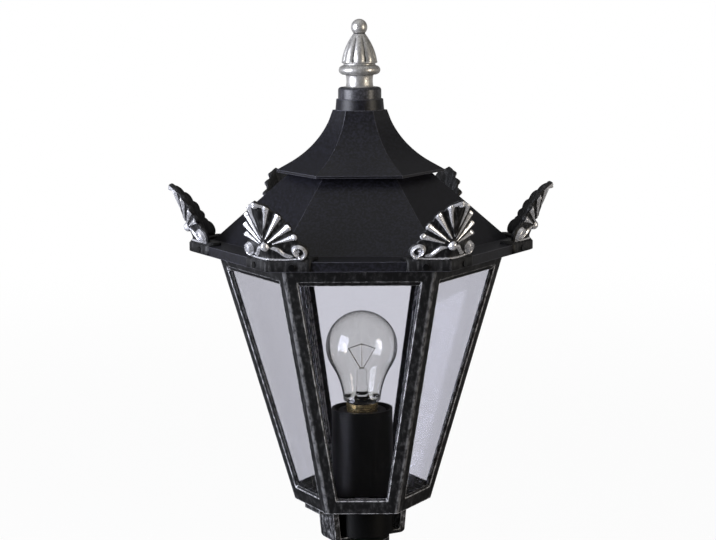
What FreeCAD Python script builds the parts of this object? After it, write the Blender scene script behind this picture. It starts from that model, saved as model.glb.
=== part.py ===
"""Hexagonal cast post top lantern: tiered roof, palmettes, glazed body, lamp tube, stirrup and fitter.

Millimetres, +Z up. The origin is the centre of the fitter's mouth, where the post enters.
A flat side of the hexagon faces the viewer (-Y), so two of its corners lie on the X axis.
"""
import FreeCAD, Part
import math
import os

V = FreeCAD.Vector

# ---------------------------------------------------------------- fits shared by many pieces
CLOSE_FIT = 0.05            # radial gap of threads and closely fitted pieces
LOOSE_FIT = 0.3             # gap round a piece that is dropped into its place
PAST = 1.0                  # a cutter runs this far beyond what it cuts

# ---------------------------------------------------------------- post fitter (bottom of the lantern)
SOCKET_RADIUS = 30.3        # bore for a 60 mm post
SOCKET_DEPTH = 65.0         # how far the post goes in
FITTER_WALL = 6.0           # wall of the sleeve round the post
MOUTH_BEAD = 2.6            # how far the bead at the mouth stands out
MOUTH_BEAD_HEIGHT = 8.0
SHOULDER_HEIGHT = 22.0      # hollow curve from the sleeve to the neck
SHOULDER_HOLLOW = 0.32      # share of its run and rise at which the curve turns
NECK_RADIUS = 22.3          # the slim neck that the photograph shows
NECK_LENGTH = 18.0
NECK_WALL = 6.0
FITTER_WEB = 6.0            # stop for the post, at the top of the bore
FITTER_WEB_BORE = 11.0      # radius of the cable's way through the stop
FITTER_TOP_WALL = 8.0       # tapped for the hollow stud
BOSS_RADIUS = 8.5           # bosses for the locking screws
BOSS_PROUD = 3.0
LOCK_SCREW_HEIGHT = 24.0
LOCK_SCREW_RADIUS = 4.0     # M8
LOCK_SCREW_LENGTH = 14.0
LOCK_SCREW_KEY = 4.0        # hexagon key, across the flats
LOCK_SCREW_KEY_DEPTH = 4.7
LOCK_SCREW_RETRACT = 0.4    # tip back from the bore
LOCK_SCREWS = 3
LOCK_SCREW_TURN = 30.0      # direction of the first screw, degrees from +X

# ---------------------------------------------------------------- stud, nut, stirrup
STUD_RADIUS = 8.0           # hollow threaded stud that joins neck, stirrup and tube
STUD_BORE = 5.5             # the cable comes up through it
STUD_ENGAGEMENT = 7.5       # thread inside the fitter's top wall
STUD_PROUD = 2.0            # above its nut
NECK_NUT_HEIGHT = 8.0
NECK_NUT_FLATS = 24.0
STIRRUP_STRIP = 4.5         # thickness of the cast strip
STIRRUP_WIDTH = 26.0
STIRRUP_HALF_TOP = 36.0     # axis to the outer face of an arm, under the body
STIRRUP_HALF_BOTTOM = 33.0  # the same, at the bottom plate
STIRRUP_EAR = 12.5          # how far an ear turns outwards
STIRRUP_BEND = 4.6          # outer radius of the two lower bends
STIRRUP_CLEAR_HEIGHT = 23.8 # inside height, bottom plate to the underside of an ear
STIRRUP_TURN = -150.0       # direction of the first arm, degrees from +X
EAR_SCREW_RADIUS = 2.5      # M5, countersunk flush under the ear
EAR_SCREW_HEAD = 4.6
EAR_SCREW_SINK = 2.3
EAR_SCREW_KEY = 3.0
EAR_SCREW_SHORT = 0.5       # end of the screw below the body's floor
EAR_SCREW_AT = STIRRUP_HALF_TOP + STIRRUP_EAR - 5.8

# ---------------------------------------------------------------- glazed body
BODY_HEIGHT = 213.9
BODY_CORNER_BOTTOM = 57.9   # corner radius of the tapered hexagon at its foot
BODY_CORNER_TOP = 120.14    # the same at its top
CORNER_ROUND = 2.8
BAR_WIDTH = 10.5            # corner to window edge, along a side
BOTTOM_RAIL = 12.4
TOP_RAIL = 17.2             # top of the body to the window, most of it under the eave
TOP_BEVEL = 4.2             # sloped lower edge of the top rail
LIP = 3.0                   # metal in front of the glass
LIP_BEVEL = 2.1             # depth to which the top rail's slope and the edge's bevel run
WINDOW_EDGE = 1.0           # bevel round the other three edges of a window
GLASS = 3.0
GLASS_OVERLAP = 4.6         # glass behind the bars
FLOOR = 5.0
TOP_FLANGE = 4.0
TOP_FLANGE_WIDTH = 19.0
CLIP_WIDTH = 12.0
CLIP_LENGTH = 8.4
CLIP_LAP = 4.0              # clip behind the glass
CLIP_THICKNESS = 1.0
CLIP_SCREW_INSET = 2.5      # screw from the clip's outer end
CLIP_SCREW_RADIUS = 1.25
CLIP_SCREW_HEAD = 2.3
CLIP_SCREW_HEAD_HEIGHT = 1.4
CLIP_SCREW_GRIP = 2.6

# ---------------------------------------------------------------- lamp tube and what it holds
TUBE_RADIUS = 25.6
TUBE_WALL = 1.8
TUBE_STEP = 1.0             # ledge that carries the disc
TUBE_LENGTH = 107.2
TUBE_FLOOR = 3.0
DISC_HEIGHT = 43.2          # ledge above the tube's foot
DISC_THICKNESS = 2.0
WIRE_HOLE_RADIUS = 3.0
WIRE_HOLE_AT = 15.0
NIPPLE_RADIUS = 5.0         # M10 x 1
NIPPLE_BORE = 3.5
NIPPLE_GRIP = 7.0           # thread inside the lampholder
NIPPLE_PROUD = 1.0
NIPPLE_NUT = 3.0
NIPPLE_NUT_FLATS = 14.0
TERMINAL_WALL_GAP = 0.9     # corners of the terminal block to the tube's wall
TERMINAL_WIDTH = 20.0
TERMINAL_HEIGHT = 16.0
TERMINAL_NUT_GAP = 1.4      # terminal block to the nut's corners
TERMINAL_SCREWS = 3
TERMINAL_SCREW_RADIUS = 1.8
TERMINAL_SCREW_SINK = 3.0
TERMINAL_SCREW_EDGE = 4.0
HOLDER_RADIUS = 20.0
HOLDER_FOOT = 14.0
HOLDER_FOOT_HEIGHT = 6.0
HOLDER_SWELL = 16.0         # height at which the lampholder is full width
HOLDER_HOLLOW = 0.3         # share of its run in at which the foot's curve turns
HOLDER_HEIGHT = 60.5
HOLDER_BEVEL = 2.0          # at the mouth
HOLDER_FLOOR = 30.0         # solid foot of the lampholder, below its cavity
SLEEVE_RADIUS = 14.0        # outside of the brass thread sleeve
SLEEVE_WALL = 0.5
SLEEVE_HEIGHT = 27.0
CONTACT_WIDTH = 6.0
CONTACT_THICKNESS = 1.0
CONTACT_HALF = 8.0          # foot of the tongue, axis to end
CONTACT_TIP = 3.0
CONTACT_DEPTH = 21.0        # lampholder's mouth to where the lamp's button touches

# ---------------------------------------------------------------- lamp (E27, 60 mm bulb)
BULB_RADIUS = 30.0
BULB_LENGTH = 105.0
BULB_WALL = 0.9
CAP_LENGTH = 27.0
CAP_WALL = 0.5
CAP_BEVEL = 3.0
CAP_THREAD_GAP = 0.35       # the cap inside its sleeve
BULB_NECK = 15.6            # neck radius just above the cap
BULB_NECK_RISE = 6.0        # cap's rim to where the neck is full width
BULB_SHOULDER = 46.0        # axial length from the widest point down to the straight neck
BULB_JOIN = 32.0            # degrees below the widest circle where the round top ends
BULB_BEND = (0.30, 0.52)    # how far out and up between neck and join the side's curve turns
BUTTON_RADIUS = 4.6
BUTTON_HEIGHT = 1.6
INSULATOR_HEIGHT = 1.4
GLASS_IN_CAP = 2.0          # glass below the cap's rim
CEMENT = 0.2                # between glass and cap
STEM_RADIUS = 5.2
STEM_HEIGHT = 31.0
STEM_SEAL = 1.5             # height of the flare's rim in the neck
STEM_FLARE = 2.0            # flare beyond the tube
STEM_FLARE_TOP = 5.0
STEM_TUBE_FOOT = 9.0
PINCH_RADIUS = 4.2
PINCH_LENGTH = 8.0
PINCH_CROWN = 2.0
WIRE_RADIUS = 0.45
COIL_RADIUS = 0.36          # the filament itself
HOOK_RADIUS = 0.68          # hooks at the wires' ends
FILAMENT_SPAN = 11.0        # half of the distance between the lead wires' ends
FILAMENT_RISE = 17.0
FILAMENT_CROWN = (4.0, 3.0) # middle support: back from the leads, and above them

# ---------------------------------------------------------------- rod, bridge, gasket
ROD_RADIUS = 4.0            # M8
ROD_SLIP = 0.5              # the roof slides off the rod
ROD_TAIL = 9.0              # below the bridge
ROD_IN_FINIAL = 14.0
ROD_END_ROOM = 1.0
ROD_NUT_HEIGHT = 6.5
ROD_NUT_FLATS = 13.0
BRIDGE_WIDTH = 25.0
BRIDGE_THICKNESS = 4.0
BRIDGE_REACH = 91.0         # half length
BRIDGE_ROOM = 3.0096        # from its end to the roof's seating ring
BRIDGE_SCREW_RADIUS = 2.5
BRIDGE_SCREW_HEAD = 4.0
BRIDGE_SCREW_HEAD_HEIGHT = 2.4
BRIDGE_SCREW_AT = BRIDGE_REACH - 4.5
GASKET = 2.2
GASKET_WIDTH = 8.0
GASKET_INSET = 0.5          # from the body's edge

# ---------------------------------------------------------------- roof
EAVE_CORNER = 141.0         # corner radius of the eave
FASCIA = 7.7
FASCIA_WALL = 3.5
LEDGE_WIDTH = 16.1          # flat-to-flat inset of the sloping ledge
LEDGE_RISE = 2.05
ROOF_PITCH = 45.1           # degrees, measured across a side
ROOF_WALL = 3.0
CROWN_APOTHEM = 30.0
CROWN_THICKNESS = 4.0
VENT_SLOTS = 6
VENT_RADIUS = 17.5
VENT_WIDTH = 6.0
VENT_LENGTH = 7.0
UPPER_EDGE = 59.9           # apothem of the upper roof's lower edge
UPPER_LIP = 2.0
UPPER_DROP = 18.2           # that edge below the crown that the roof stands on
UPPER_FOOT_RUN = 9.3        # straight foot of the bell curve
UPPER_FOOT_PITCH = 32.8
UPPER_MID_APOTHEM = 33.8    # a point on the bell curve
UPPER_MID_HEIGHT = 2.7      # above the crown, as are the next heights
UPPER_NECK_APOTHEM = 22.1   # where the curve runs straight again
UPPER_NECK_HEIGHT = 22.5
UPPER_NECK_PITCH = 72.5
UPPER_TOP_APOTHEM = 19.4
UPPER_TOP_HEIGHT = 31.0
UPPER_WALL = 2.4
UPPER_CAP = 5.0
STEP_FOOT_RADIUS = 20.1     # round step on the hexagonal top
STEP_TOP_RADIUS = 19.3
STEP_HEIGHT = 8.9
SPACER_WALL = 3.0

# ---------------------------------------------------------------- collar and finial
COLLAR_RADIUS = 17.8
COLLAR_HEIGHT = 9.7
COLLAR_ROUND = 2.6
FINIAL_NECK_RADIUS = 10.8
FINIAL_NECK_HEIGHT = 10.1
FINIAL_FLARE = 1.1
RING_RADIUS = 17.1
RING_HEIGHT = 7.6
RING_THROAT = 12.6
GROOVE_HEIGHT = 1.7
GROOVE_RADIUS = 13.1
CONE_RADIUS = 14.7
CONE_HEIGHT = 24.4
CONE_TOP_RADIUS = 4.6
CONE_BULGE = 2.0            # how far the side bows out from a straight cone
CONE_LOBES = 8
CONE_VALLEY = 0.88          # radius of the valleys between lobes, as a share of the crest
CONE_SECTIONS = 6
BALL_RADIUS = 6.7
BALL_SINK = 1.8             # overlap of ball and cone

# ---------------------------------------------------------------- palmettes
PALMETTE_SETBACK = 1.0        # foot of the ridge inside the eave's corner
PALMETTE_LEAN = 23.5          # ridge from the vertical, degrees
PALMETTE_HEIGHT = 50.5        # foot to tip, along the ridge
PALMETTE_PLATE = 2.6
PALMETTE_BOSS_AT = 12.3       # up the ridge
PALMETTE_BOSS_RADIUS = 3.6
PALMETTE_RIB_ROOT = 0.9
PALMETTE_RIB_TIP = 2.3
PALMETTE_RIB_SINK = 0.3
PALMETTE_VOLUTE_RADIUS = 6.3
PALMETTE_VOLUTE_BEAD = 1.9
PALMETTE_VOLUTE_SHIFT = 0.4   # hollow of the scroll, inwards and up
PALMETTE_VOLUTE_FLOOR = 0.6
PALMETTE_EYE_FOOT = 2.6
PALMETTE_EYE_TOP = 1.6
PALMETTE_EYE_SHIFT = (-1.2, 1.0)
PALMETTE_VOLUTE_ENTRY = (-2.8, 5.7)   # where the scallops meet the scroll, from its centre
PALMETTE_NOTCH = 0.93         # how far out the notches between ribs lie
PALMETTE_LIP_SAG = 0.8        # middle of the lower edge above its ends
PALMETTE_LEAF_ROOT = (3.5, 10.8)
PALMETTE_LEAF_WIDE = 2.2
PALMETTE_LEAF_SLIM = 0.7
PALMETTE_BACK_SET = 2.0       # backbone behind the ridge
PALMETTE_BACK_SHORT = 6.0     # and its end below the tip
PALMETTE_BACK_TIP = 1.56
PALMETTE_SKIRT = 1.6
PALMETTE_SKIRT_LENGTH = 34.0
PALMETTE_SKIRT_INSET = 0.5    # skirt stops this far above the fascia's lower edge
PALMETTE_FOOT_STEP = 0.4      # foot above the fascia's upper edge
PALMETTE_FOOT = 3.0
PALMETTE_FOOT_DEPTH = 9.0
PALMETTE_FOOT_BEVEL = 1.0     # run of the foot's sloping front
PALMETTE_SCREW_RADIUS = 1.5
PALMETTE_SCREW_HEAD = 2.6
PALMETTE_SCREW_AT = 19.0      # from the corner, along the side
PALMETTE_SCREW_HEAD_HEIGHT = 1.0
# ribs of one wing: end point (along the side from the ridge, up the ridge)
PALMETTE_RIBS = ((7.4, 46.6), (16.4, 39.4), (22.6, 29.4), (25.9, 20.6))
PALMETTE_VOLUTE_AT = (27.0, 9.2)
PALMETTE_LEAF = (17.0, 5.6)

# ---------------------------------------------------------------- heights that follow
COS30 = math.cos(math.radians(30.0))
BODY_TAPER = (BODY_CORNER_TOP - BODY_CORNER_BOTTOM) / BODY_HEIGHT
NECK_FOOT = SOCKET_DEPTH + FITTER_WEB + SHOULDER_HEIGHT
FITTER_TOP = NECK_FOOT + NECK_LENGTH
PLATE_TOP = FITTER_TOP + STIRRUP_STRIP
BODY_BOTTOM = PLATE_TOP + STIRRUP_CLEAR_HEIGHT + STIRRUP_STRIP
BODY_TOP = BODY_BOTTOM + BODY_HEIGHT
WALL = LIP + GLASS + 2 * LOOSE_FIT
SEAT = BODY_TOP + GASKET                       # underside of the roof's seating ring
EAVE = SEAT - (FASCIA - FASCIA_WALL)           # lower edge of the fascia
EAVE_APOTHEM = EAVE_CORNER * COS30
SEAT_DEPTH = EAVE_APOTHEM - BRIDGE_REACH - BRIDGE_ROOM     # fascia to the inner edge of the seating ring
ROOF_SLOPE = math.tan(math.radians(ROOF_PITCH))
LEDGE_APOTHEM = EAVE_APOTHEM - LEDGE_WIDTH
LEDGE_TOP = EAVE + FASCIA + LEDGE_RISE
CROWN_TOP = LEDGE_TOP + (LEDGE_APOTHEM - CROWN_APOTHEM) * ROOF_SLOPE
UPPER_TOP = CROWN_TOP + UPPER_TOP_HEIGHT
STEP_TOP = UPPER_TOP + STEP_HEIGHT
FINIAL_FOOT = STEP_TOP + COLLAR_HEIGHT
STUD_FOOT = FITTER_TOP - STUD_ENGAGEMENT
TUBE_FOOT = PLATE_TOP
TUBE_TOP = TUBE_FOOT + TUBE_LENGTH
NUT_FOOT = TUBE_FOOT + TUBE_FLOOR
DISC_FOOT = TUBE_FOOT + DISC_HEIGHT
DISC_TOP = DISC_FOOT + DISC_THICKNESS
HOLDER_TOP = DISC_TOP + HOLDER_HEIGHT
CAVITY_FLOOR = DISC_TOP + HOLDER_FLOOR
CONTACT_LEVEL = HOLDER_TOP - CONTACT_DEPTH     # where the lamp's button meets the contact
CAP_TOP = CONTACT_LEVEL + CAP_LENGTH
CAP_RADIUS = SLEEVE_RADIUS - SLEEVE_WALL - CAP_THREAD_GAP
GLASS_RADIUS = CAP_RADIUS - CAP_WALL - CEMENT
GLASS_FOOT = CAP_TOP - GLASS_IN_CAP
BULB_CENTRE = CONTACT_LEVEL + BULB_LENGTH - BULB_RADIUS
TILT = math.atan(BODY_TAPER * COS30)           # lean of a glazed side
WINDOW_BOTTOM = BOTTOM_RAIL / math.cos(TILT)   # up the slope from the body's foot
WINDOW_TOP = (BODY_HEIGHT - TOP_RAIL) / math.cos(TILT)
PALMETTE_FOOT_TOP = EAVE + FASCIA + PALMETTE_FOOT_STEP
PALMETTE_CORNER = V(EAVE_CORNER - PALMETTE_SETBACK, 0, PALMETTE_FOOT_TOP)


# ---------------------------------------------------------------- helpers
def body_corner(z):
    """Corner radius of the tapered body at height z."""
    return BODY_CORNER_BOTTOM + BODY_TAPER * (z - BODY_BOTTOM)


def turn(shape, degrees):
    """A copy of shape turned about the lantern's axis."""
    copy = shape.copy()
    copy.rotate(V(0, 0, 0), V(0, 0, 1), degrees)
    return copy


def around(shape, count, start=0.0):
    """Copies of shape at equal steps about the lantern's axis."""
    step = 360.0 / count
    return [turn(shape, start + step * i) for i in range(count)]


def cylinder(radius, z0, z1, x=0.0, y=0.0):
    """Upright round bar from z0 to z1."""
    return Part.makeCylinder(radius, z1 - z0, V(x, y, z0))


def box(x0, x1, y0, y1, z0, z1):
    """Block between two corners."""
    return Part.makeBox(x1 - x0, y1 - y0, z1 - z0, V(x0, y0, z0))


def hexagon_bar(flats, z0, z1, x=0.0, y=0.0):
    """Upright hexagonal bar, such as a nut, with the given size across flats."""
    corner = flats / 2 / COS30
    points = [V(x + corner * math.cos(math.radians(60 * i)), y + corner * math.sin(math.radians(60 * i)), z0)
              for i in range(7)]
    return Part.Face(Part.makePolygon(points)).extrude(V(0, 0, z1 - z0))


def revolve(edges):
    """Solid turned about the axis from a closed outline in the XZ plane."""
    face = Part.Face(Part.Wire(edges))
    return face.revolve(V(0, 0, 0), V(0, 0, 1), 360)


def lines(points):
    """Edges through points given as (radius, height), left open."""
    corners = [V(r, 0, z) for r, z in points]
    return [Part.LineSegment(a, b).toShape() for a, b in zip(corners, corners[1:])]


def arc(start, middle, end):
    """Arc edge through three points given as (radius, height)."""
    return Part.Arc(V(start[0], 0, start[1]), V(middle[0], 0, middle[1]), V(end[0], 0, end[1])).toShape()


def turned(points):
    """Solid of revolution whose outline is a polygon of (radius, height) points."""
    return revolve(lines(list(points) + [points[0]]))


def mitred_hexagon(edges, reach):
    """Solid made by carrying a closed outline of (apothem, height) points round a mitred hexagon.

    The outline is drawn for the side whose middle lies on -Y.
    """
    face = Part.Face(Part.Wire(edges))
    face.rotate(V(0, 0, 0), V(0, 0, 1), -90)
    length = 2 * reach
    strip = face.copy()
    strip.translate(V(-reach, 0, 0))
    strip = strip.extrude(V(length, 0, 0))
    low = strip.BoundBox.ZMin - 1
    high = strip.BoundBox.ZMax + 1
    half = reach * math.tan(math.radians(30.0))
    middle = V(0, 0, low)
    wedge = Part.Face(Part.makePolygon([middle, V(-half, -reach, low), V(half, -reach, low), middle]))
    side = strip.common(wedge.extrude(V(0, 0, high - low)))
    sides = around(side, 6)
    return sides[0].multiFuse(sides[1:]).removeSplitter()


def hexagon_outline(points):
    """Closed polygon outline for mitred_hexagon from (apothem, height) points."""
    return lines(list(points) + [points[0]])


def side_placement(side):
    """Placement of one glazed side: x along it, y up its slope, z outwards, origin at its foot's middle."""
    heading = math.radians(-90.0 + 60.0 * side)
    out = V(math.cos(heading), math.sin(heading), 0)
    along = V(-math.sin(heading), math.cos(heading), 0)
    up = out * math.sin(TILT) + V(0, 0, 1) * math.cos(TILT)
    normal = out * math.cos(TILT) - V(0, 0, 1) * math.sin(TILT)
    origin = out * (BODY_CORNER_BOTTOM * COS30) + V(0, 0, BODY_BOTTOM)
    return FreeCAD.Placement(FreeCAD.Matrix(along.x, up.x, normal.x, origin.x,
                                            along.y, up.y, normal.y, origin.y,
                                            along.z, up.z, normal.z, origin.z,
                                            0, 0, 0, 1))


def on_side(shape, side):
    """shape, drawn in a glazed side's own frame, moved to that side."""
    placed = shape.copy()
    placed.Placement = side_placement(side).multiply(placed.Placement)
    return placed


def side_width(up):
    """Half width of a glazed side at a distance up its slope."""
    return body_corner(BODY_BOTTOM + up * math.cos(TILT)) / 2


def pane_outline(bottom, top, inset, depth):
    """Trapezoid wire in a side's frame, inset from the corner edges, at a depth below the outer face."""
    low = side_width(bottom) - inset
    high = side_width(top) - inset
    return Part.makePolygon([V(-low, bottom, -depth), V(low, bottom, -depth), V(high, top, -depth),
                             V(-high, top, -depth), V(-low, bottom, -depth)])


def trapezoid(bottom, top, inset, depth, thickness):
    """Trapezoid plate in a side's frame, from depth down by thickness."""
    return Part.Face(pane_outline(bottom, top, inset, depth)).extrude(V(0, 0, -thickness))


# ---------------------------------------------------------------- fitter, stud, stirrup
def lock_screw_bar(radius, start, length):
    """Round bar along +X at the height of the locking screws."""
    return Part.makeCylinder(radius, length, V(start, 0, LOCK_SCREW_HEIGHT), V(1, 0, 0))


def post_fitter():
    """Sleeve over the post, hollow-curved shoulder and slim neck, cast in one piece."""
    sleeve = SOCKET_RADIUS + FITTER_WALL
    bead = sleeve + MOUTH_BEAD
    top_of_sleeve = SOCKET_DEPTH + FITTER_WEB
    drop = sleeve - NECK_RADIUS
    bend = (sleeve - (1 - SHOULDER_HOLLOW) * drop, top_of_sleeve + SHOULDER_HOLLOW * SHOULDER_HEIGHT)
    outline = [arc((sleeve, MOUTH_BEAD_HEIGHT), (bead, MOUTH_BEAD_HEIGHT / 2), (sleeve, 0))]
    inner = NECK_RADIUS - NECK_WALL
    thread = STUD_RADIUS + CLOSE_FIT
    ceiling = FITTER_TOP - FITTER_TOP_WALL
    outline += lines([(sleeve, 0), (SOCKET_RADIUS, 0), (SOCKET_RADIUS, SOCKET_DEPTH),
                      (FITTER_WEB_BORE, SOCKET_DEPTH), (FITTER_WEB_BORE, top_of_sleeve), (inner, NECK_FOOT),
                      (inner, ceiling), (thread, ceiling), (thread, FITTER_TOP), (NECK_RADIUS, FITTER_TOP),
                      (NECK_RADIUS, NECK_FOOT)])
    outline += [arc((NECK_RADIUS, NECK_FOOT), bend, (sleeve, top_of_sleeve))]
    outline += lines([(sleeve, top_of_sleeve), (sleeve, MOUTH_BEAD_HEIGHT)])
    body = revolve(outline)
    boss = lock_screw_bar(BOSS_RADIUS, SOCKET_RADIUS + FITTER_WALL / 2, FITTER_WALL / 2 + BOSS_PROUD)
    hole = lock_screw_bar(LOCK_SCREW_RADIUS + CLOSE_FIT, SOCKET_RADIUS - PAST,
                          FITTER_WALL + BOSS_PROUD + 2 * PAST)
    body = body.fuse(around(boss, LOCK_SCREWS, LOCK_SCREW_TURN))
    return body.cut(around(hole, LOCK_SCREWS, LOCK_SCREW_TURN)).removeSplitter()


def lock_screw():
    """Socket-headed locking screw, backed out so that the post slides in."""
    start = SOCKET_RADIUS + LOCK_SCREW_RETRACT
    screw = lock_screw_bar(LOCK_SCREW_RADIUS, start, LOCK_SCREW_LENGTH)
    key = hexagon_bar(LOCK_SCREW_KEY, 0, LOCK_SCREW_KEY_DEPTH)
    key.rotate(V(0, 0, 0), V(0, 1, 0), 90)
    key.translate(V(start + LOCK_SCREW_LENGTH - LOCK_SCREW_KEY_DEPTH, 0, LOCK_SCREW_HEIGHT))
    return screw.cut(key)


def neck_stud():
    """Hollow threaded stud through the neck, the stirrup and the foot of the tube."""
    top = NUT_FOOT + NECK_NUT_HEIGHT + STUD_PROUD
    return turned([(STUD_BORE, STUD_FOOT), (STUD_RADIUS, STUD_FOOT), (STUD_RADIUS, top), (STUD_BORE, top)])


def neck_nut():
    """Hexagon nut on the hollow stud."""
    nut = hexagon_bar(NECK_NUT_FLATS, NUT_FOOT, NUT_FOOT + NECK_NUT_HEIGHT)
    return nut.cut(cylinder(STUD_RADIUS + CLOSE_FIT, NUT_FOOT - PAST, NUT_FOOT + NECK_NUT_HEIGHT + PAST))


def ear_screw_bar(gap, top):
    """Countersunk screw on +X without its key, or its hole when given a gap, up to a height."""
    foot = BODY_BOTTOM - STIRRUP_STRIP
    at = V(EAR_SCREW_AT, 0, foot)
    head = Part.makeCone(EAR_SCREW_HEAD + gap, EAR_SCREW_RADIUS + gap, EAR_SCREW_SINK, at)
    return head.fuse(cylinder(EAR_SCREW_RADIUS + gap, foot, top, EAR_SCREW_AT)).removeSplitter()


def stirrup():
    """Cast strip bent to a hat: bottom plate, two arms and two ears bolted under the body."""
    t = STIRRUP_STRIP
    low = STIRRUP_HALF_BOTTOM
    high = STIRRUP_HALF_TOP
    tip = high + STIRRUP_EAR
    outer = [V(-tip, 0, BODY_BOTTOM), V(-tip, 0, BODY_BOTTOM - t), V(-high, 0, BODY_BOTTOM - t),
             V(-low, 0, FITTER_TOP), V(low, 0, FITTER_TOP), V(high, 0, BODY_BOTTOM - t),
             V(tip, 0, BODY_BOTTOM - t), V(tip, 0, BODY_BOTTOM), V(high - t, 0, BODY_BOTTOM),
             V(low - t, 0, PLATE_TOP), V(t - low, 0, PLATE_TOP), V(t - high, 0, BODY_BOTTOM)]
    face = Part.Face(Part.makePolygon(outer + [outer[0]]))
    face.translate(V(0, -STIRRUP_WIDTH / 2, 0))
    strip = face.extrude(V(0, STIRRUP_WIDTH, 0))
    bends = [e for e in strip.Edges
             if e.Length > STIRRUP_WIDTH - 0.1 and abs(e.CenterOfMass.z - FITTER_TOP) < 0.1]
    strip = strip.makeFillet(STIRRUP_BEND, bends)
    strip = strip.cut(cylinder(STUD_RADIUS + LOOSE_FIT, FITTER_TOP - PAST, PLATE_TOP + PAST))
    strip = strip.cut(around(ear_screw_bar(CLOSE_FIT, BODY_BOTTOM + PAST), 2))
    return turn(strip, STIRRUP_TURN)


def stirrup_screws():
    """Two countersunk screws from below, through the ears into the body's floor."""
    foot = BODY_BOTTOM - STIRRUP_STRIP
    key = hexagon_bar(EAR_SCREW_KEY, foot, foot + EAR_SCREW_SINK, EAR_SCREW_AT)
    screw = ear_screw_bar(0.0, BODY_BOTTOM + FLOOR - EAR_SCREW_SHORT).cut(key)
    return Part.makeCompound(around(screw, 2, STIRRUP_TURN))


# ---------------------------------------------------------------- glazed body
def body_shell():
    """Tapered hexagonal wall with a floor and an inward flange round the top."""
    across = WALL / math.cos(TILT)
    foot = BODY_CORNER_BOTTOM * COS30
    head = body_corner(BODY_TOP) * COS30
    floor_top = BODY_BOTTOM + FLOOR
    flange_foot = BODY_TOP - TOP_FLANGE
    outline = hexagon_outline([
        (TUBE_RADIUS - PAST, BODY_BOTTOM), (foot, BODY_BOTTOM), (head, BODY_TOP),
        (head - TOP_FLANGE_WIDTH, BODY_TOP), (head - TOP_FLANGE_WIDTH, flange_foot),
        (body_corner(flange_foot) * COS30 - across, flange_foot),
        (body_corner(floor_top) * COS30 - across, floor_top), (TUBE_RADIUS - PAST, floor_top)])
    shell = mitred_hexagon(outline, 2 * head)
    corners = [e for e in shell.Edges
               if e.Length > BODY_HEIGHT and e.CenterOfMass.Length > 0
               and math.hypot(e.CenterOfMass.x, e.CenterOfMass.y) > body_corner(e.CenterOfMass.z) - 0.5]
    return shell.makeFillet(CORNER_ROUND, corners)


def window():
    """Cutter for one side: bevelled opening, straight lip and the rebate that holds the glass."""
    opening = trapezoid(WINDOW_BOTTOM, WINDOW_TOP, BAR_WIDTH, -PAST, WALL + 2 * PAST)
    outer = pane_outline(WINDOW_BOTTOM - WINDOW_EDGE, WINDOW_TOP + TOP_BEVEL, BAR_WIDTH - WINDOW_EDGE, 0)
    bevel = Part.makeLoft([outer, pane_outline(WINDOW_BOTTOM, WINDOW_TOP, BAR_WIDTH, LIP_BEVEL)], True, True)
    rebate = trapezoid(WINDOW_BOTTOM - GLASS_OVERLAP, WINDOW_TOP + GLASS_OVERLAP,
                       BAR_WIDTH - GLASS_OVERLAP, LIP, WALL)
    return [opening, bevel, rebate]


def body_frame():
    """Cast lantern body: six corner bars between a top and a bottom rail."""
    frame = body_shell()
    cutters = [on_side(cutter, side) for side in range(6) for cutter in window()]
    frame = frame.cut(cutters)
    frame = frame.cut(cylinder(TUBE_RADIUS + LOOSE_FIT, BODY_BOTTOM - PAST, BODY_BOTTOM + FLOOR + PAST))
    ear_hole = cylinder(EAR_SCREW_RADIUS + CLOSE_FIT, BODY_BOTTOM - PAST, BODY_BOTTOM + FLOOR + PAST,
                        EAR_SCREW_AT)
    bridge_hole = cylinder(BRIDGE_SCREW_RADIUS + CLOSE_FIT, BODY_TOP - TOP_FLANGE - PAST, BODY_TOP + PAST,
                           0, BRIDGE_SCREW_AT)
    frame = frame.cut(around(ear_hole, 2, STIRRUP_TURN) + around(bridge_hole, 2))
    holes = [on_side(clip_screw_bar(CLIP_SCREW_RADIUS + CLOSE_FIT, up), side)
             for side in range(6) for up in clip_screws_up()]
    return frame.cut(holes)


def pane():
    """One clear glass pane in its side's frame, lying in the rebate."""
    gap = LOOSE_FIT
    return trapezoid(WINDOW_BOTTOM - GLASS_OVERLAP + gap, WINDOW_TOP + GLASS_OVERLAP - gap,
                     BAR_WIDTH - GLASS_OVERLAP + gap, LIP + gap, GLASS)


def clip_spans():
    """Ends of the two clips of a side, up its slope: each laps the glass from the rail beside it."""
    low = WINDOW_BOTTOM - GLASS_OVERLAP + CLIP_LAP
    high = WINDOW_TOP + GLASS_OVERLAP - CLIP_LAP
    return ((low - CLIP_LENGTH, low), (high, high + CLIP_LENGTH))


def clip_screws_up():
    """Distance up the slope of the screw in each clip, on the rail beside the glass."""
    lower, upper = clip_spans()
    return (lower[0] + CLIP_SCREW_INSET, upper[1] - CLIP_SCREW_INSET)


def clip_screw_bar(radius, up, extra=0.0):
    """Bar along a side's normal, from the clip's back into the rail."""
    length = CLIP_SCREW_GRIP + CLIP_THICKNESS + extra
    return Part.makeCylinder(radius, length, V(0, up, CLIP_SCREW_GRIP - WALL - length))


def pane_clips():
    """Twelve flat spring clips that hold the glass against the frame."""
    clips = []
    for side in range(6):
        for (low, high), up in zip(clip_spans(), clip_screws_up()):
            plate = box(-CLIP_WIDTH / 2, CLIP_WIDTH / 2, low, high, -WALL - CLIP_THICKNESS, -WALL)
            clips.append(on_side(plate.cut(clip_screw_bar(CLIP_SCREW_RADIUS + CLOSE_FIT, up, PAST)), side))
    return Part.makeCompound(clips)


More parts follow.
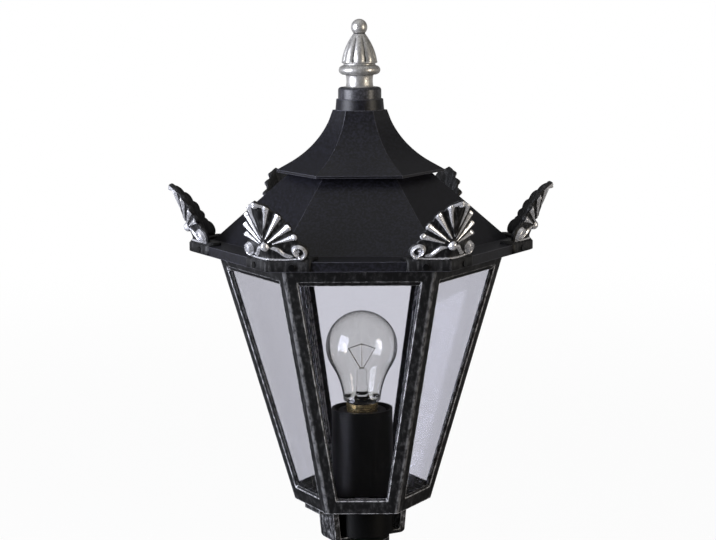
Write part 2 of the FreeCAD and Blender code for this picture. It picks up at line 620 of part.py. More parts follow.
def clip_screws():
    """Pan-head screws of the spring clips."""
    screws = []
    for side in range(6):
        for up in clip_screws_up():
            head = Part.makeCylinder(CLIP_SCREW_HEAD, CLIP_SCREW_HEAD_HEIGHT,
                                     V(0, up, -WALL - CLIP_THICKNESS - CLIP_SCREW_HEAD_HEIGHT))
            screws.append(on_side(clip_screw_bar(CLIP_SCREW_RADIUS, up).fuse(head).removeSplitter(), side))
    return Part.makeCompound(screws)


# ---------------------------------------------------------------- lamp tube and its contents
def lamp_tube():
    """Black tube round the lampholder, a cup clamped to the stirrup by the stud's nut."""
    inner = TUBE_RADIUS - TUBE_WALL
    hole = STUD_RADIUS + LOOSE_FIT
    return turned([(hole, TUBE_FOOT), (TUBE_RADIUS, TUBE_FOOT), (TUBE_RADIUS, TUBE_TOP), (inner, TUBE_TOP),
                   (inner, DISC_FOOT), (inner - TUBE_STEP, DISC_FOOT), (inner - TUBE_STEP, NUT_FOOT),
                   (hole, NUT_FOOT)])


def carrier_disc():
    """Disc on the tube's ledge that carries the lampholder."""
    disc = cylinder(TUBE_RADIUS - TUBE_WALL - CLOSE_FIT, DISC_FOOT, DISC_TOP)
    disc = disc.cut(cylinder(NIPPLE_RADIUS + CLOSE_FIT, DISC_FOOT - PAST, DISC_TOP + PAST))
    return disc.cut(cylinder(WIRE_HOLE_RADIUS, DISC_FOOT - PAST, DISC_TOP + PAST, 0, -WIRE_HOLE_AT))


def nipple():
    """Hollow threaded nipple between disc and lampholder."""
    foot = DISC_FOOT - NIPPLE_NUT - NIPPLE_PROUD
    top = DISC_TOP + NIPPLE_GRIP
    return turned([(NIPPLE_BORE, foot), (NIPPLE_RADIUS, foot), (NIPPLE_RADIUS, top), (NIPPLE_BORE, top)])


def nipple_nut():
    """Flat hexagon nut under the disc."""
    foot = DISC_FOOT - NIPPLE_NUT
    nut = hexagon_bar(NIPPLE_NUT_FLATS, foot, DISC_FOOT)
    return nut.cut(cylinder(NIPPLE_RADIUS + CLOSE_FIT, foot - PAST, DISC_FOOT + PAST))


def terminal_block():
    """Strip terminal for the mains cable, fixed under the disc."""
    foot = DISC_FOOT - TERMINAL_HEIGHT
    back = NIPPLE_NUT_FLATS / 2 / COS30 + TERMINAL_NUT_GAP
    room = TUBE_RADIUS - TUBE_WALL - TUBE_STEP - TERMINAL_WALL_GAP
    front = math.sqrt(room ** 2 - (TERMINAL_WIDTH / 2) ** 2)
    block = box(back, front, -TERMINAL_WIDTH / 2, TERMINAL_WIDTH / 2, foot, DISC_FOOT)
    pitch = TERMINAL_WIDTH / TERMINAL_SCREWS
    for i in range(TERMINAL_SCREWS):
        y = (i - (TERMINAL_SCREWS - 1) / 2) * pitch
        for z in (DISC_FOOT - TERMINAL_SCREW_EDGE, foot + TERMINAL_SCREW_EDGE):
            block = block.cut(Part.makeCylinder(TERMINAL_SCREW_RADIUS, TERMINAL_SCREW_SINK,
                                                V(front - TERMINAL_SCREW_SINK, y, z), V(1, 0, 0)))
    return block


def lampholder():
    """Moulded lampholder with a round skirt, open at the top for the lamp."""
    thread = NIPPLE_RADIUS + CLOSE_FIT
    bore = SLEEVE_RADIUS + CLOSE_FIT
    thread_top = DISC_TOP + NIPPLE_GRIP + PAST
    foot = (HOLDER_FOOT, DISC_TOP + HOLDER_FOOT_HEIGHT)
    swell = (HOLDER_RADIUS, DISC_TOP + HOLDER_SWELL)
    shoulder = (HOLDER_RADIUS - HOLDER_HOLLOW * (HOLDER_RADIUS - HOLDER_FOOT), (foot[1] + swell[1]) / 2)
    outline = lines([(thread, DISC_TOP), (HOLDER_FOOT, DISC_TOP), foot])
    outline += [arc(foot, shoulder, swell)]
    outline += lines([swell, (HOLDER_RADIUS, HOLDER_TOP), (bore + HOLDER_BEVEL, HOLDER_TOP),
                      (bore, HOLDER_TOP - HOLDER_BEVEL), (bore, CAVITY_FLOOR), (0, CAVITY_FLOOR),
                      (0, thread_top), (thread, thread_top), (thread, DISC_TOP)])
    return revolve(outline)


def thread_sleeve():
    """Brass sleeve that the lamp's cap screws into."""
    inner = SLEEVE_RADIUS - SLEEVE_WALL
    top = CAVITY_FLOOR + SLEEVE_HEIGHT
    return turned([(inner, CAVITY_FLOOR), (SLEEVE_RADIUS, CAVITY_FLOOR), (SLEEVE_RADIUS, top), (inner, top)])


def centre_contact():
    """Sprung brass tongue under the lamp's button."""
    foot = CAVITY_FLOOR
    top = CONTACT_LEVEL - LOOSE_FIT
    t = CONTACT_THICKNESS
    half = CONTACT_HALF
    tip = CONTACT_TIP
    outline = [V(-half, 0, foot), V(half, 0, foot), V(half, 0, foot + t), V(2 * t - half, 0, foot + t),
               V(tip, 0, top - t), V(tip, 0, top), V(-tip, 0, top), V(-half, 0, foot + t)]
    face = Part.Face(Part.makePolygon(outline + [outline[0]]))
    face.translate(V(0, -CONTACT_WIDTH / 2, 0))
    return face.extrude(V(0, CONTACT_WIDTH, 0))


# ---------------------------------------------------------------- lamp
def bulb_cap():
    """Brass screw cap, a cup round the neck of the glass."""
    foot = CONTACT_LEVEL + BUTTON_HEIGHT + INSULATOR_HEIGHT
    inner = CAP_RADIUS - CAP_WALL
    return turned([(BUTTON_RADIUS, foot), (CAP_RADIUS - CAP_BEVEL, foot), (CAP_RADIUS, foot + CAP_BEVEL),
                   (CAP_RADIUS, CAP_TOP), (inner, CAP_TOP), (inner, foot + CAP_BEVEL + CAP_WALL),
                   (inner - CAP_BEVEL, foot + CAP_WALL), (BUTTON_RADIUS, foot + CAP_WALL)])


def bulb_button():
    """Glass insulator with the soldered centre contact."""
    middle = CONTACT_LEVEL + BUTTON_HEIGHT
    top = middle + INSULATOR_HEIGHT
    return turned([(0, CONTACT_LEVEL), (BUTTON_RADIUS - 1, CONTACT_LEVEL), (BUTTON_RADIUS, middle),
                   (CAP_RADIUS - CAP_BEVEL - 1, top), (0, top)])


def bulb_outline(inset):
    """Edges of the bulb's side from the neck's foot to its top, set in by a wall."""
    r = BULB_RADIUS - inset
    neck = BULB_NECK - inset
    low = BULB_CENTRE - BULB_SHOULDER
    join = math.radians(-BULB_JOIN)
    touch = (r * math.cos(join), BULB_CENTRE + r * math.sin(join))
    mouth = GLASS_RADIUS - inset
    bend = (neck + BULB_BEND[0] * (touch[0] - neck), low + BULB_BEND[1] * (touch[1] - low))
    side = lines([(mouth, GLASS_FOOT), (mouth, CAP_TOP), (neck, CAP_TOP + BULB_NECK_RISE), (neck, low)])
    side += [arc((neck, low), bend, touch)]
    side += [arc(touch, (r, BULB_CENTRE), (0, BULB_CENTRE + r))]
    return side


def bulb_envelope():
    """Blown glass envelope, open at the neck where the stem closes it."""
    top = BULB_CENTRE + BULB_RADIUS
    crown = lines([(0, top), (0, top - BULB_WALL)])
    rim = lines([(GLASS_RADIUS, GLASS_FOOT), (GLASS_RADIUS - BULB_WALL, GLASS_FOOT)])
    return revolve(Part.__sortEdges__(bulb_outline(0.0) + bulb_outline(BULB_WALL) + crown + rim))


def bulb_stem():
    """Glass stem: flare sealed in the neck, tube and flattened pinch."""
    foot = GLASS_FOOT
    mouth = GLASS_RADIUS - BULB_WALL - CLOSE_FIT
    top = foot + STEM_HEIGHT
    return turned([(0, foot), (mouth, foot), (mouth, foot + STEM_SEAL),
                   (STEM_RADIUS + STEM_FLARE, foot + STEM_FLARE_TOP), (STEM_RADIUS, foot + STEM_TUBE_FOOT),
                   (PINCH_RADIUS, top - PINCH_LENGTH), (PINCH_RADIUS, top - PINCH_CROWN),
                   (PINCH_RADIUS / 2, top), (0, top)])


def wire(start, end, radius=WIRE_RADIUS):
    """Straight round wire between two points."""
    axis = end.sub(start)
    return Part.makeCylinder(radius, axis.Length, start, axis)


def filament():
    """Tungsten filament on its lead wires and supports."""
    foot = GLASS_FOOT + STEM_HEIGHT + CLOSE_FIT
    top = foot + FILAMENT_RISE
    leads = [V(way * FILAMENT_SPAN, 0, top) for way in (-1, 1)]
    crown = V(0, FILAMENT_CROWN[0], top + FILAMENT_CROWN[1])
    root = foot + WIRE_RADIUS
    parts = [wire(V(way * PINCH_RADIUS / 3, 0, root), lead) for way, lead in zip((-1, 1), leads)]
    parts += [wire(V(0, 0, root), crown)]
    parts += [wire(lead, crown, COIL_RADIUS) for lead in leads]
    parts += [Part.makeSphere(HOOK_RADIUS, point) for point in leads + [crown]]
    wide = PINCH_RADIUS / 2
    base = box(-wide, wide, -2 * WIRE_RADIUS, 2 * WIRE_RADIUS, foot, foot + 2 * WIRE_RADIUS)
    return base.multiFuse(parts).removeSplitter()


# ---------------------------------------------------------------- bridge, rod, gasket
def rod_bridge():
    """Flat bar across the top of the body that holds the roof's rod."""
    w = BRIDGE_WIDTH / 2
    bar = box(-w, w, -BRIDGE_REACH, BRIDGE_REACH, BODY_TOP, BODY_TOP + BRIDGE_THICKNESS)
    low = BODY_TOP - PAST
    high = BODY_TOP + BRIDGE_THICKNESS + PAST
    screw_hole = cylinder(BRIDGE_SCREW_RADIUS + CLOSE_FIT, low, high, 0, BRIDGE_SCREW_AT)
    return bar.cut([cylinder(ROD_RADIUS + CLOSE_FIT, low, high)] + around(screw_hole, 2))


def bridge_screws():
    """Screws at the two ends of the bridge."""
    top = BODY_TOP + BRIDGE_THICKNESS
    shank = cylinder(BRIDGE_SCREW_RADIUS, BODY_TOP - TOP_FLANGE - PAST, top, 0, BRIDGE_SCREW_AT)
    head = cylinder(BRIDGE_SCREW_HEAD, top, top + BRIDGE_SCREW_HEAD_HEIGHT, 0, BRIDGE_SCREW_AT)
    return Part.makeCompound(around(shank.fuse(head).removeSplitter(), 2))


def centre_rod():
    """Threaded rod from the bridge up into the finial."""
    return cylinder(ROD_RADIUS, BODY_TOP - ROD_TAIL, FINIAL_FOOT + ROD_IN_FINIAL)


def rod_nuts():
    """Nuts above and below the bridge."""
    nuts = []
    for foot in (BODY_TOP - ROD_NUT_HEIGHT, BODY_TOP + BRIDGE_THICKNESS):
        nut = hexagon_bar(ROD_NUT_FLATS, foot, foot + ROD_NUT_HEIGHT)
        nuts.append(nut.cut(cylinder(ROD_RADIUS + CLOSE_FIT, foot - PAST, foot + ROD_NUT_HEIGHT + PAST)))
    return Part.makeCompound(nuts)


def roof_gasket():
    """Flat rubber ring between body and roof."""
    outer = BODY_CORNER_TOP * COS30 - GASKET_INSET
    return mitred_hexagon(hexagon_outline([(outer, BODY_TOP), (outer, SEAT), (outer - GASKET_WIDTH, SEAT),
                                           (outer - GASKET_WIDTH, BODY_TOP)]), 2 * outer)


# ---------------------------------------------------------------- roof
def lower_roof():
    """Hexagonal pyramid with its eave, ledge, seating ring and crown, cast in one piece."""
    across = ROOF_WALL / math.cos(math.radians(ROOF_PITCH)) / ROOF_SLOPE
    ring = EAVE_APOTHEM - SEAT_DEPTH
    crown_foot = CROWN_TOP - CROWN_THICKNESS

    def inner_height(apothem):
        return LEDGE_TOP + (LEDGE_APOTHEM - across - apothem) * ROOF_SLOPE

    inner_crown = LEDGE_APOTHEM - across - (crown_foot - LEDGE_TOP) / ROOF_SLOPE
    outline = hexagon_outline([
        (EAVE_APOTHEM, EAVE), (EAVE_APOTHEM, EAVE + FASCIA), (LEDGE_APOTHEM, LEDGE_TOP),
        (CROWN_APOTHEM, CROWN_TOP), (0, CROWN_TOP), (0, crown_foot), (inner_crown, crown_foot),
        (ring, inner_height(ring)), (ring, SEAT), (EAVE_APOTHEM - FASCIA_WALL, SEAT),
        (EAVE_APOTHEM - FASCIA_WALL, EAVE)])
    roof = mitred_hexagon(outline, 2 * EAVE_APOTHEM)
    roof = roof.cut(cylinder(ROD_RADIUS + ROD_SLIP, crown_foot - PAST, CROWN_TOP + PAST))
    slot = box(VENT_RADIUS - VENT_WIDTH / 2, VENT_RADIUS + VENT_WIDTH / 2, -VENT_LENGTH / 2, VENT_LENGTH / 2,
               crown_foot - PAST, CROWN_TOP + PAST)
    roof = roof.cut(around(slot, VENT_SLOTS))
    holes = [turn(palmette_screw_bar(PALMETTE_SCREW_RADIUS + CLOSE_FIT, way, PAST), 60.0 * i)
             for i in range(6) for way in (-1, 1)]
    return roof.cut(holes)


def roof_spacer():
    """Tube on the rod that keeps the two roofs apart."""
    foot = CROWN_TOP
    top = UPPER_TOP - UPPER_CAP
    bore = ROD_RADIUS + ROD_SLIP
    return turned([(bore, foot), (bore + SPACER_WALL, foot), (bore + SPACER_WALL, top), (bore, top)])


def shifted(point, pitch, distance):
    """A point of the roof's outline moved square to its surface, towards the inside."""
    angle = math.radians(pitch)
    return (point[0] - distance * math.sin(angle), point[1] - distance * math.cos(angle))


def upper_roof():
    """Bell-curved upper roof with its round step."""
    edge = (UPPER_EDGE, CROWN_TOP - UPPER_DROP)
    foot_end = (UPPER_EDGE - UPPER_FOOT_RUN,
                edge[1] + UPPER_FOOT_RUN * math.tan(math.radians(UPPER_FOOT_PITCH)))
    middle = (UPPER_MID_APOTHEM, CROWN_TOP + UPPER_MID_HEIGHT)
    neck = (UPPER_NECK_APOTHEM, CROWN_TOP + UPPER_NECK_HEIGHT)
    under = UPPER_TOP - UPPER_CAP
    mid_pitch = (UPPER_FOOT_PITCH + UPPER_NECK_PITCH) / 2
    inner_edge = (UPPER_EDGE - UPPER_WALL, edge[1] - UPPER_LIP)
    inner_foot = shifted(foot_end, UPPER_FOOT_PITCH, UPPER_WALL)
    inner_middle = shifted(middle, mid_pitch, UPPER_WALL)
    inner_neck = shifted(neck, UPPER_NECK_PITCH, UPPER_WALL)
    inner_top = (inner_neck[0] - (under - inner_neck[1]) / math.tan(math.radians(UPPER_NECK_PITCH)), under)
    outline = lines([(UPPER_EDGE, edge[1] - UPPER_LIP), edge, foot_end])
    outline += [arc(foot_end, middle, neck)]
    outline += lines([neck, (UPPER_TOP_APOTHEM, UPPER_TOP), (0, UPPER_TOP), (0, under), inner_top,
                      inner_neck])
    outline += [arc(inner_neck, inner_middle, inner_foot)]
    outline += lines([inner_foot, inner_edge, (UPPER_EDGE, edge[1] - UPPER_LIP)])
    bell = mitred_hexagon(outline, 2 * UPPER_EDGE)
    step = Part.makeCone(STEP_FOOT_RADIUS, STEP_TOP_RADIUS, STEP_HEIGHT, V(0, 0, UPPER_TOP))
    bell = bell.fuse(step)
    return bell.cut(cylinder(ROD_RADIUS + ROD_SLIP, under - PAST, STEP_TOP + PAST)).removeSplitter()


def roof_collar():
    """Round collar under the finial."""
    bore = ROD_RADIUS + ROD_SLIP
    top = STEP_TOP + COLLAR_HEIGHT
    r = COLLAR_ROUND
    corner = (COLLAR_RADIUS - r + r * math.sin(math.pi / 4), top - r + r * math.cos(math.pi / 4))
    outline = lines([(COLLAR_RADIUS - r, top), (bore, top), (bore, STEP_TOP), (COLLAR_RADIUS, STEP_TOP),
                     (COLLAR_RADIUS, top - r)])
    outline += [arc((COLLAR_RADIUS, top - r), corner, (COLLAR_RADIUS - r, top))]
    return revolve(outline)


def lobed_wire(radius, z):
    """Closed outline of the finial's cone: a ring of convex lobes."""
    edges = []
    for i in range(CONE_LOBES):
        start, middle, end = ((i + part) * 2 * math.pi / CONE_LOBES for part in (-0.5, 0.0, 0.5))
        valley = radius * CONE_VALLEY
        places = ((valley, start), (radius, middle), (valley, end))
        points = [V(r * math.cos(a), r * math.sin(a), z) for r, a in places]
        edges.append(Part.Arc(*points).toShape())
    return Part.Wire(edges)


def finial():
    """Turned neck and ring, lobed cone and ball, cast in one piece and screwed on the rod."""
    bore = ROD_RADIUS + CLOSE_FIT
    z = FINIAL_FOOT
    bore_top = z + ROD_IN_FINIAL + ROD_END_ROOM
    neck_top = z + FINIAL_NECK_HEIGHT
    ring_top = neck_top + RING_HEIGHT
    ring_middle = (neck_top + ring_top) / 2
    cone_foot = ring_top + GROOVE_HEIGHT
    neck = FINIAL_NECK_RADIUS
    flare = neck + FINIAL_FLARE
    waist = (neck, (z + neck_top) / 2)
    outline = [arc((flare, z), waist, (flare, neck_top))]
    outline += [arc((flare, neck_top), (RING_RADIUS, ring_middle), (RING_THROAT, ring_top))]
    outline += lines([(RING_THROAT, ring_top), (GROOVE_RADIUS, cone_foot), (0, cone_foot),
                      (0, bore_top), (bore, bore_top), (bore, z), (flare, z)])
    base = revolve(outline)
    wires = []
    for i in range(CONE_SECTIONS):
        share = i / (CONE_SECTIONS - 1)
        radius = CONE_RADIUS + (CONE_TOP_RADIUS - CONE_RADIUS) * share + 4 * CONE_BULGE * share * (1 - share)
        wires.append(lobed_wire(radius, cone_foot + CONE_HEIGHT * share))
    cone = Part.makeLoft(wires, True, False)
    ball = Part.makeSphere(BALL_RADIUS, V(0, 0, cone_foot + CONE_HEIGHT + BALL_RADIUS - BALL_SINK))
    return base.multiFuse([cone, ball]).removeSplitter()


# ---------------------------------------------------------------- palmettes
def wing_placement():
    """Placement of the left wing at the corner on +X: x along the side, y up, z outwards."""
    lean = math.radians(PALMETTE_LEAN)
    ridge = V(math.sin(lean), 0, math.cos(lean))
    along = V(-0.5, COS30, 0)
    normal = along.cross(ridge)
    normal.normalize()
    up = normal.cross(along)
    origin = PALMETTE_CORNER
    return FreeCAD.Placement(FreeCAD.Matrix(along.x, up.x, normal.x, origin.x,
                                            along.y, up.y, normal.y, origin.y,
                                            along.z, up.z, normal.z, origin.z, 0, 0, 0, 1))


def wing_point(along, up, out=0.0):
    """Point of a wing from its oblique coordinates: along the side from the ridge, and up the ridge."""
    lean = math.radians(PALMETTE_LEAN)
    skew = -0.5 * math.sin(lean)
    return V(along + up * skew, up * math.sqrt(1 - skew * skew), out)


def wing_outline(out):
    """Closed scalloped outline of one wing, with a convex arc round the tip of each rib."""
    tips = [(0.0, PALMETTE_HEIGHT)] + list(PALMETTE_RIBS)
    boss = V(0, PALMETTE_BOSS_AT, 0)
    volute = wing_point(*PALMETTE_VOLUTE_AT, out)
    edges = []
    notches = []
    for (s0, t0), (s1, t1) in zip(tips, tips[1:]):
        mid = wing_point((s0 + s1) / 2, (t0 + t1) / 2, out)
        centre = wing_point(0, boss.y, out)
        notches.append(centre + (mid - centre) * PALMETTE_NOTCH)
    start = wing_point(0, PALMETTE_HEIGHT, out)
    previous = start
    for index, (s, t) in enumerate(tips[1:]):
        if index == 0:
            edges.append(Part.LineSegment(previous, notches[0]).toShape())
            previous = notches[0]
        tip = wing_point(s, t, out)
        if index + 1 < len(notches):
            following = notches[index + 1]
        else:
            following = volute + V(*PALMETTE_VOLUTE_ENTRY, 0)
        edges.append(Part.Arc(previous, tip, following).toShape())
        previous = following
    outer = volute + V(PALMETTE_VOLUTE_RADIUS, 0, 0)
    under = volute + V(0, -PALMETTE_VOLUTE_RADIUS, 0)
    edges.append(Part.Arc(previous, outer, under).toShape())
    foot = wing_point(0, 0, out)
    lip = wing_point(PALMETTE_VOLUTE_AT[0] / 2, PALMETTE_LIP_SAG, out)
    edges.append(Part.Arc(under, lip, foot).toShape())
    edges.append(Part.LineSegment(foot, start).toShape())
    return Part.Wire(edges)


def wing_rib(tip):
    """Tapered round rib from the boss to a tip of the outline."""
    start = wing_point(0.0, PALMETTE_BOSS_AT, -PALMETTE_RIB_SINK)
    end = wing_point(tip[0], tip[1], -PALMETTE_RIB_SINK)
    axis = end.sub(start)
    length = axis.Length - PALMETTE_RIB_TIP
    return Part.makeCone(PALMETTE_RIB_ROOT, PALMETTE_RIB_TIP, length, start, axis)


def wing_volute():
    """Raised scroll at the lower end of a wing: an open ring with an eye."""
    centre = wing_point(*PALMETTE_VOLUTE_AT)
    bead = PALMETTE_VOLUTE_BEAD
    outer = Part.makeCylinder(PALMETTE_VOLUTE_RADIUS, bead, centre)
    hollow = centre + V(-PALMETTE_VOLUTE_SHIFT, PALMETTE_VOLUTE_SHIFT, PALMETTE_VOLUTE_FLOOR)
    inner = Part.makeCylinder(PALMETTE_VOLUTE_RADIUS - bead, bead + PAST, hollow)
    eye = Part.makeCone(PALMETTE_EYE_FOOT, PALMETTE_EYE_TOP, bead, centre + V(*PALMETTE_EYE_SHIFT, 0))
    return outer.cut(inner).fuse(eye)


def wing_leaf():
    """Lens-shaped leaf between the boss and the scroll."""
    start = wing_point(*PALMETTE_LEAF_ROOT)
    axis = wing_point(*PALMETTE_LEAF).sub(start)
    return Part.makeCone(PALMETTE_LEAF_WIDE, PALMETTE_LEAF_SLIM, axis.Length, start, axis)


def wing():
    """The left wing of a palmette, at the corner on +X."""
    plate = Part.Face(wing_outline(-PALMETTE_PLATE)).extrude(V(0, 0, PALMETTE_PLATE))
    shape = plate.multiFuse([wing_rib(tip) for tip in PALMETTE_RIBS] + [wing_volute(), wing_leaf()])
    shape.Placement = wing_placement()
    return shape


def corner_sector(length, low, high):
    """Prism over the corner on +X that takes in a length of each adjoining side."""
    reach = 2 * PALMETTE_FOOT_DEPTH
    inward = V(-0.5, COS30, 0)
    outward = V(reach, 0, 0)
    a = V(EAVE_CORNER, 0, low)
    left = a + inward * length
    right = a + V(inward.x, -inward.y, 0) * length
    far = V(COS30, 0.5, 0) * reach
    near = V(-COS30, -0.5, 0) * reach
    points = [a + outward, left + far, left + near, V(right.x + near.x, right.y - near.y, low),
              V(right.x + far.x, right.y - far.y, low), a + outward]
    return Part.Face(Part.makePolygon(points)).extrude(V(0, 0, high - low))


def palmette_foot():
    """Skirt over the fascia's corner and the foot behind the wings, resting on the ledge."""
    skirt_foot = EAVE + PALMETTE_SKIRT_INSET
    top = PALMETTE_FOOT_TOP
    inner = EAVE_APOTHEM
    outer = inner + PALMETTE_SKIRT
    depth = PALMETTE_FOOT_DEPTH
    rise = LEDGE_RISE * depth / LEDGE_WIDTH
    ledge = EAVE + FASCIA
    outline = hexagon_outline([
        (outer, skirt_foot), (outer, top), (inner - PALMETTE_FOOT_BEVEL, top + PALMETTE_FOOT),
        (inner - depth, top + PALMETTE_FOOT), (inner - depth, ledge + rise), (inner, ledge),
        (inner, skirt_foot)])
    band = mitred_hexagon(outline, 2 * outer)
    return band.common(corner_sector(PALMETTE_SKIRT_LENGTH, EAVE - PAST, top + PALMETTE_FOOT + PAST))


def palmette_screw_bar(radius, way, extra=0.0):
    """Bar square to a side near the corner on +X, through the skirt into the fascia."""
    out = V(COS30, way * 0.5, 0)
    along = V(-0.5, way * COS30, 0)
    face = V(EAVE_CORNER, 0, EAVE + FASCIA / 2) + along * PALMETTE_SCREW_AT
    start = face + out * (PALMETTE_SKIRT + extra)
    return Part.makeCylinder(radius, PALMETTE_SKIRT + FASCIA_WALL + extra, start, out * (-1))


def palmette():
    """Fan-shaped acroterion wrapped round a corner of the eave."""
    left = wing()
    reach = left.BoundBox
    far, wide, high = reach.XMax + PAST, reach.YMax + PAST, reach.ZMax + PAST
    above = box(0, far, -wide, wide, PALMETTE_FOOT_TOP, high)
    left = left.common(above).common(box(0, far, 0, wide, 0, high))
    wings = left.fuse(left.mirror(V(0, 0, 0), V(0, 1, 0)))
    lean = math.radians(PALMETTE_LEAN)
    ridge = V(math.sin(lean), 0, math.cos(lean))
    foot = PALMETTE_CORNER
    boss = Part.makeSphere(PALMETTE_BOSS_RADIUS, foot + ridge * PALMETTE_BOSS_AT)
    back = Part.makeCone(PALMETTE_PLATE, PALMETTE_BACK_TIP, PALMETTE_HEIGHT - PALMETTE_BACK_SHORT,
                         foot - V(PALMETTE_BACK_SET, 0, 0), ridge)
    shape = wings.multiFuse([boss, back.common(above), palmette_foot()])
    holes = [palmette_screw_bar(PALMETTE_SCREW_RADIUS + CLOSE_FIT, way, PAST) for way in (-1, 1)]
    return shape.cut(holes).removeSplitter()


def palmette_screws():
    """Twelve screws through the skirts into the fascia."""
    screws = []
    for i in range(6):
        for way in (-1, 1):
            out = V(COS30, way * 0.5, 0)
            shank = palmette_screw_bar(PALMETTE_SCREW_RADIUS, way)
            along = V(-0.5, way * COS30, 0)
            face = V(EAVE_CORNER, 0, EAVE + FASCIA / 2) + along * PALMETTE_SCREW_AT + out * PALMETTE_SKIRT
            head = Part.makeCylinder(PALMETTE_SCREW_HEAD, PALMETTE_SCREW_HEAD_HEIGHT, face, out)
            screws.append(turn(shank.fuse(head).removeSplitter(), 60.0 * i))
    return Part.makeCompound(screws)


# ---------------------------------------------------------------- export
def build():
    """All sub-parts by node name."""
    parts = {
        "post_fitter": post_fitter(),
        "neck_stud": neck_stud(),
        "neck_nut": neck_nut(),
        "stirrup": stirrup(),
        "stirrup_screws": stirrup_screws(),
        "body_frame": body_frame(),
        "pane_clips": pane_clips(),
        "clip_screws": clip_screws(),
        "lamp_tube": lamp_tube(),
        "carrier_disc": carrier_disc(),
        "nipple": nipple(),
        "nipple_nut": nipple_nut(),
        "terminal_block": terminal_block(),
        "lampholder": lampholder(),
        "thread_sleeve": thread_sleeve(),
        "centre_contact": centre_contact(),
        "bulb_cap": bulb_cap(),
        "bulb_button": bulb_button(),
        "bulb_envelope": bulb_envelope(),
        "bulb_stem": bulb_stem(),
        "filament": filament(),
        "rod_bridge": rod_bridge(),
        "bridge_screws": bridge_screws(),
        "centre_rod": centre_rod(),
        "rod_nuts": rod_nuts(),
        "roof_gasket": roof_gasket(),
        "lower_roof": lower_roof(),
        "roof_spacer": roof_spacer(),
        "upper_roof": upper_roof(),
        "roof_collar": roof_collar(),
        "finial": finial(),
        "palmette_screws": palmette_screws(),
    }
    for number, shape in enumerate(around(lock_screw(), LOCK_SCREWS, LOCK_SCREW_TURN), 1):
        parts[f"lock_screw_{number}"] = shape
    for side, name in enumerate(("front", "front_right", "back_right", "back", "back_left", "front_left")):
        parts[f"pane_{name}"] = on_side(pane(), side)
    for number, shape in enumerate(around(palmette(), 6), 1):
        parts[f"palmette_{number}"] = shape
    return parts


os.makedirs("parts", exist_ok=True)
for node, solid in build().items():
    print(node, len(solid.Solids), solid.isValid(), round(solid.Volume, 1))
    solid.exportStep(f"parts/{node}.step")
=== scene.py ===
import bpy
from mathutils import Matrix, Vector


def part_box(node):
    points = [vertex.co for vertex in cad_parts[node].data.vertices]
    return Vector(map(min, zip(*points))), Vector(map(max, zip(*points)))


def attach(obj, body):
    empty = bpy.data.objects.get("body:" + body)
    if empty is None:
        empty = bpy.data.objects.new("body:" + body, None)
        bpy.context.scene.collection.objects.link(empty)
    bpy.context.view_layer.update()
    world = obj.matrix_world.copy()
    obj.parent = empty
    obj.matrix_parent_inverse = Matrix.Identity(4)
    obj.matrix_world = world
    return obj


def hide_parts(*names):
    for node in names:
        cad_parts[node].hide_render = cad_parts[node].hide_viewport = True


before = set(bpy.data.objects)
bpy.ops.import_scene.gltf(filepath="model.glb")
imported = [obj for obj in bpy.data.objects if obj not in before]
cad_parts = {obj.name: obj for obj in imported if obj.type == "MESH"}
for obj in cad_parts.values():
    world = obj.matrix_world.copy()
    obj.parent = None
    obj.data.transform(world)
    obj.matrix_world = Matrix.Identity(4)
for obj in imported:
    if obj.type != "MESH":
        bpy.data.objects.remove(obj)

"""Dresses a hexagonal cast post top lantern: finishes, palmettes, finial, studio and camera.

The castings' shapes come from the frame. The palmettes and the finial are drawn again with their fine relief.
A paint mask travels with each of them as the attribute "relief": 0 in the recesses, 1 on what stands proud.
"""
import logging
import math
from abc import ABC, abstractmethod
from dataclasses import dataclass, field
from enum import Enum
from typing import NamedTuple

import bmesh
import bpy
import numpy as np
from mathutils import Matrix, Vector

Pair = tuple[float, float]
Triple = tuple[float, float, float]
Array = np.ndarray
Socket = bpy.types.NodeSocket
Value = Socket | float | tuple[float, ...]
Inputs = dict[str | int, Value]

LOG = logging.getLogger("lantern")
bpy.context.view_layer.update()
MM = 0.001
COS30 = math.cos(math.radians(30.0))
SIDE_TURN = 60.0  # degrees from one side of the hexagon to the next
RELIEF = "relief"
MERGE_MM = 0.002  # points nearer than this become one
SLIVER_MM = 0.001  # edges shorter than this are dissolved
TINY = 1e-9  # keeps a divisor above zero
BEVEL_SAMPLES = 6


def node_box(name: str) -> tuple[Array, Array]:
    """Lowest and highest corner of a CAD node, in millimetres.

    Args:
        name: the node's name in the frame.

    Returns:
        The two corners as arrays of x, y and z.
    """
    low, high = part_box(name)
    return np.array(low) / MM, np.array(high) / MM


# ---------------- meshes from numpy surfaces
def smooth_step(x: Array) -> Array:
    """3x^2 - 2x^3 between 0 and 1, level outside.

    Args:
        x: the values.

    Returns:
        The smoothed values, from 0 to 1.
    """
    x = np.clip(x, 0.0, 1.0)
    return x * x * (3.0 - 2.0 * x)


def bump(distance: Array, width: float | Array) -> Array:
    """Bell curve exp(-(distance/width)^2).

    Args:
        distance: distances from the middle.
        width: distance at which the curve has fallen to 1/e.

    Returns:
        Values from 0 to 1.
    """
    return np.exp(-((distance / width) ** 2))


def grid_quads(rows: int, columns: int) -> Array:
    """Corner numbers of the quads of a grid whose points are numbered row by row.

    Args:
        rows: points along the first parameter.
        columns: points along the second parameter.

    Returns:
        An array with one row of four corners for each quad.
    """
    first = (np.arange(rows - 1)[:, None] * columns + np.arange(columns - 1)[None, :]).ravel()
    return np.stack([first, first + 1, first + columns + 1, first + columns], axis=1)


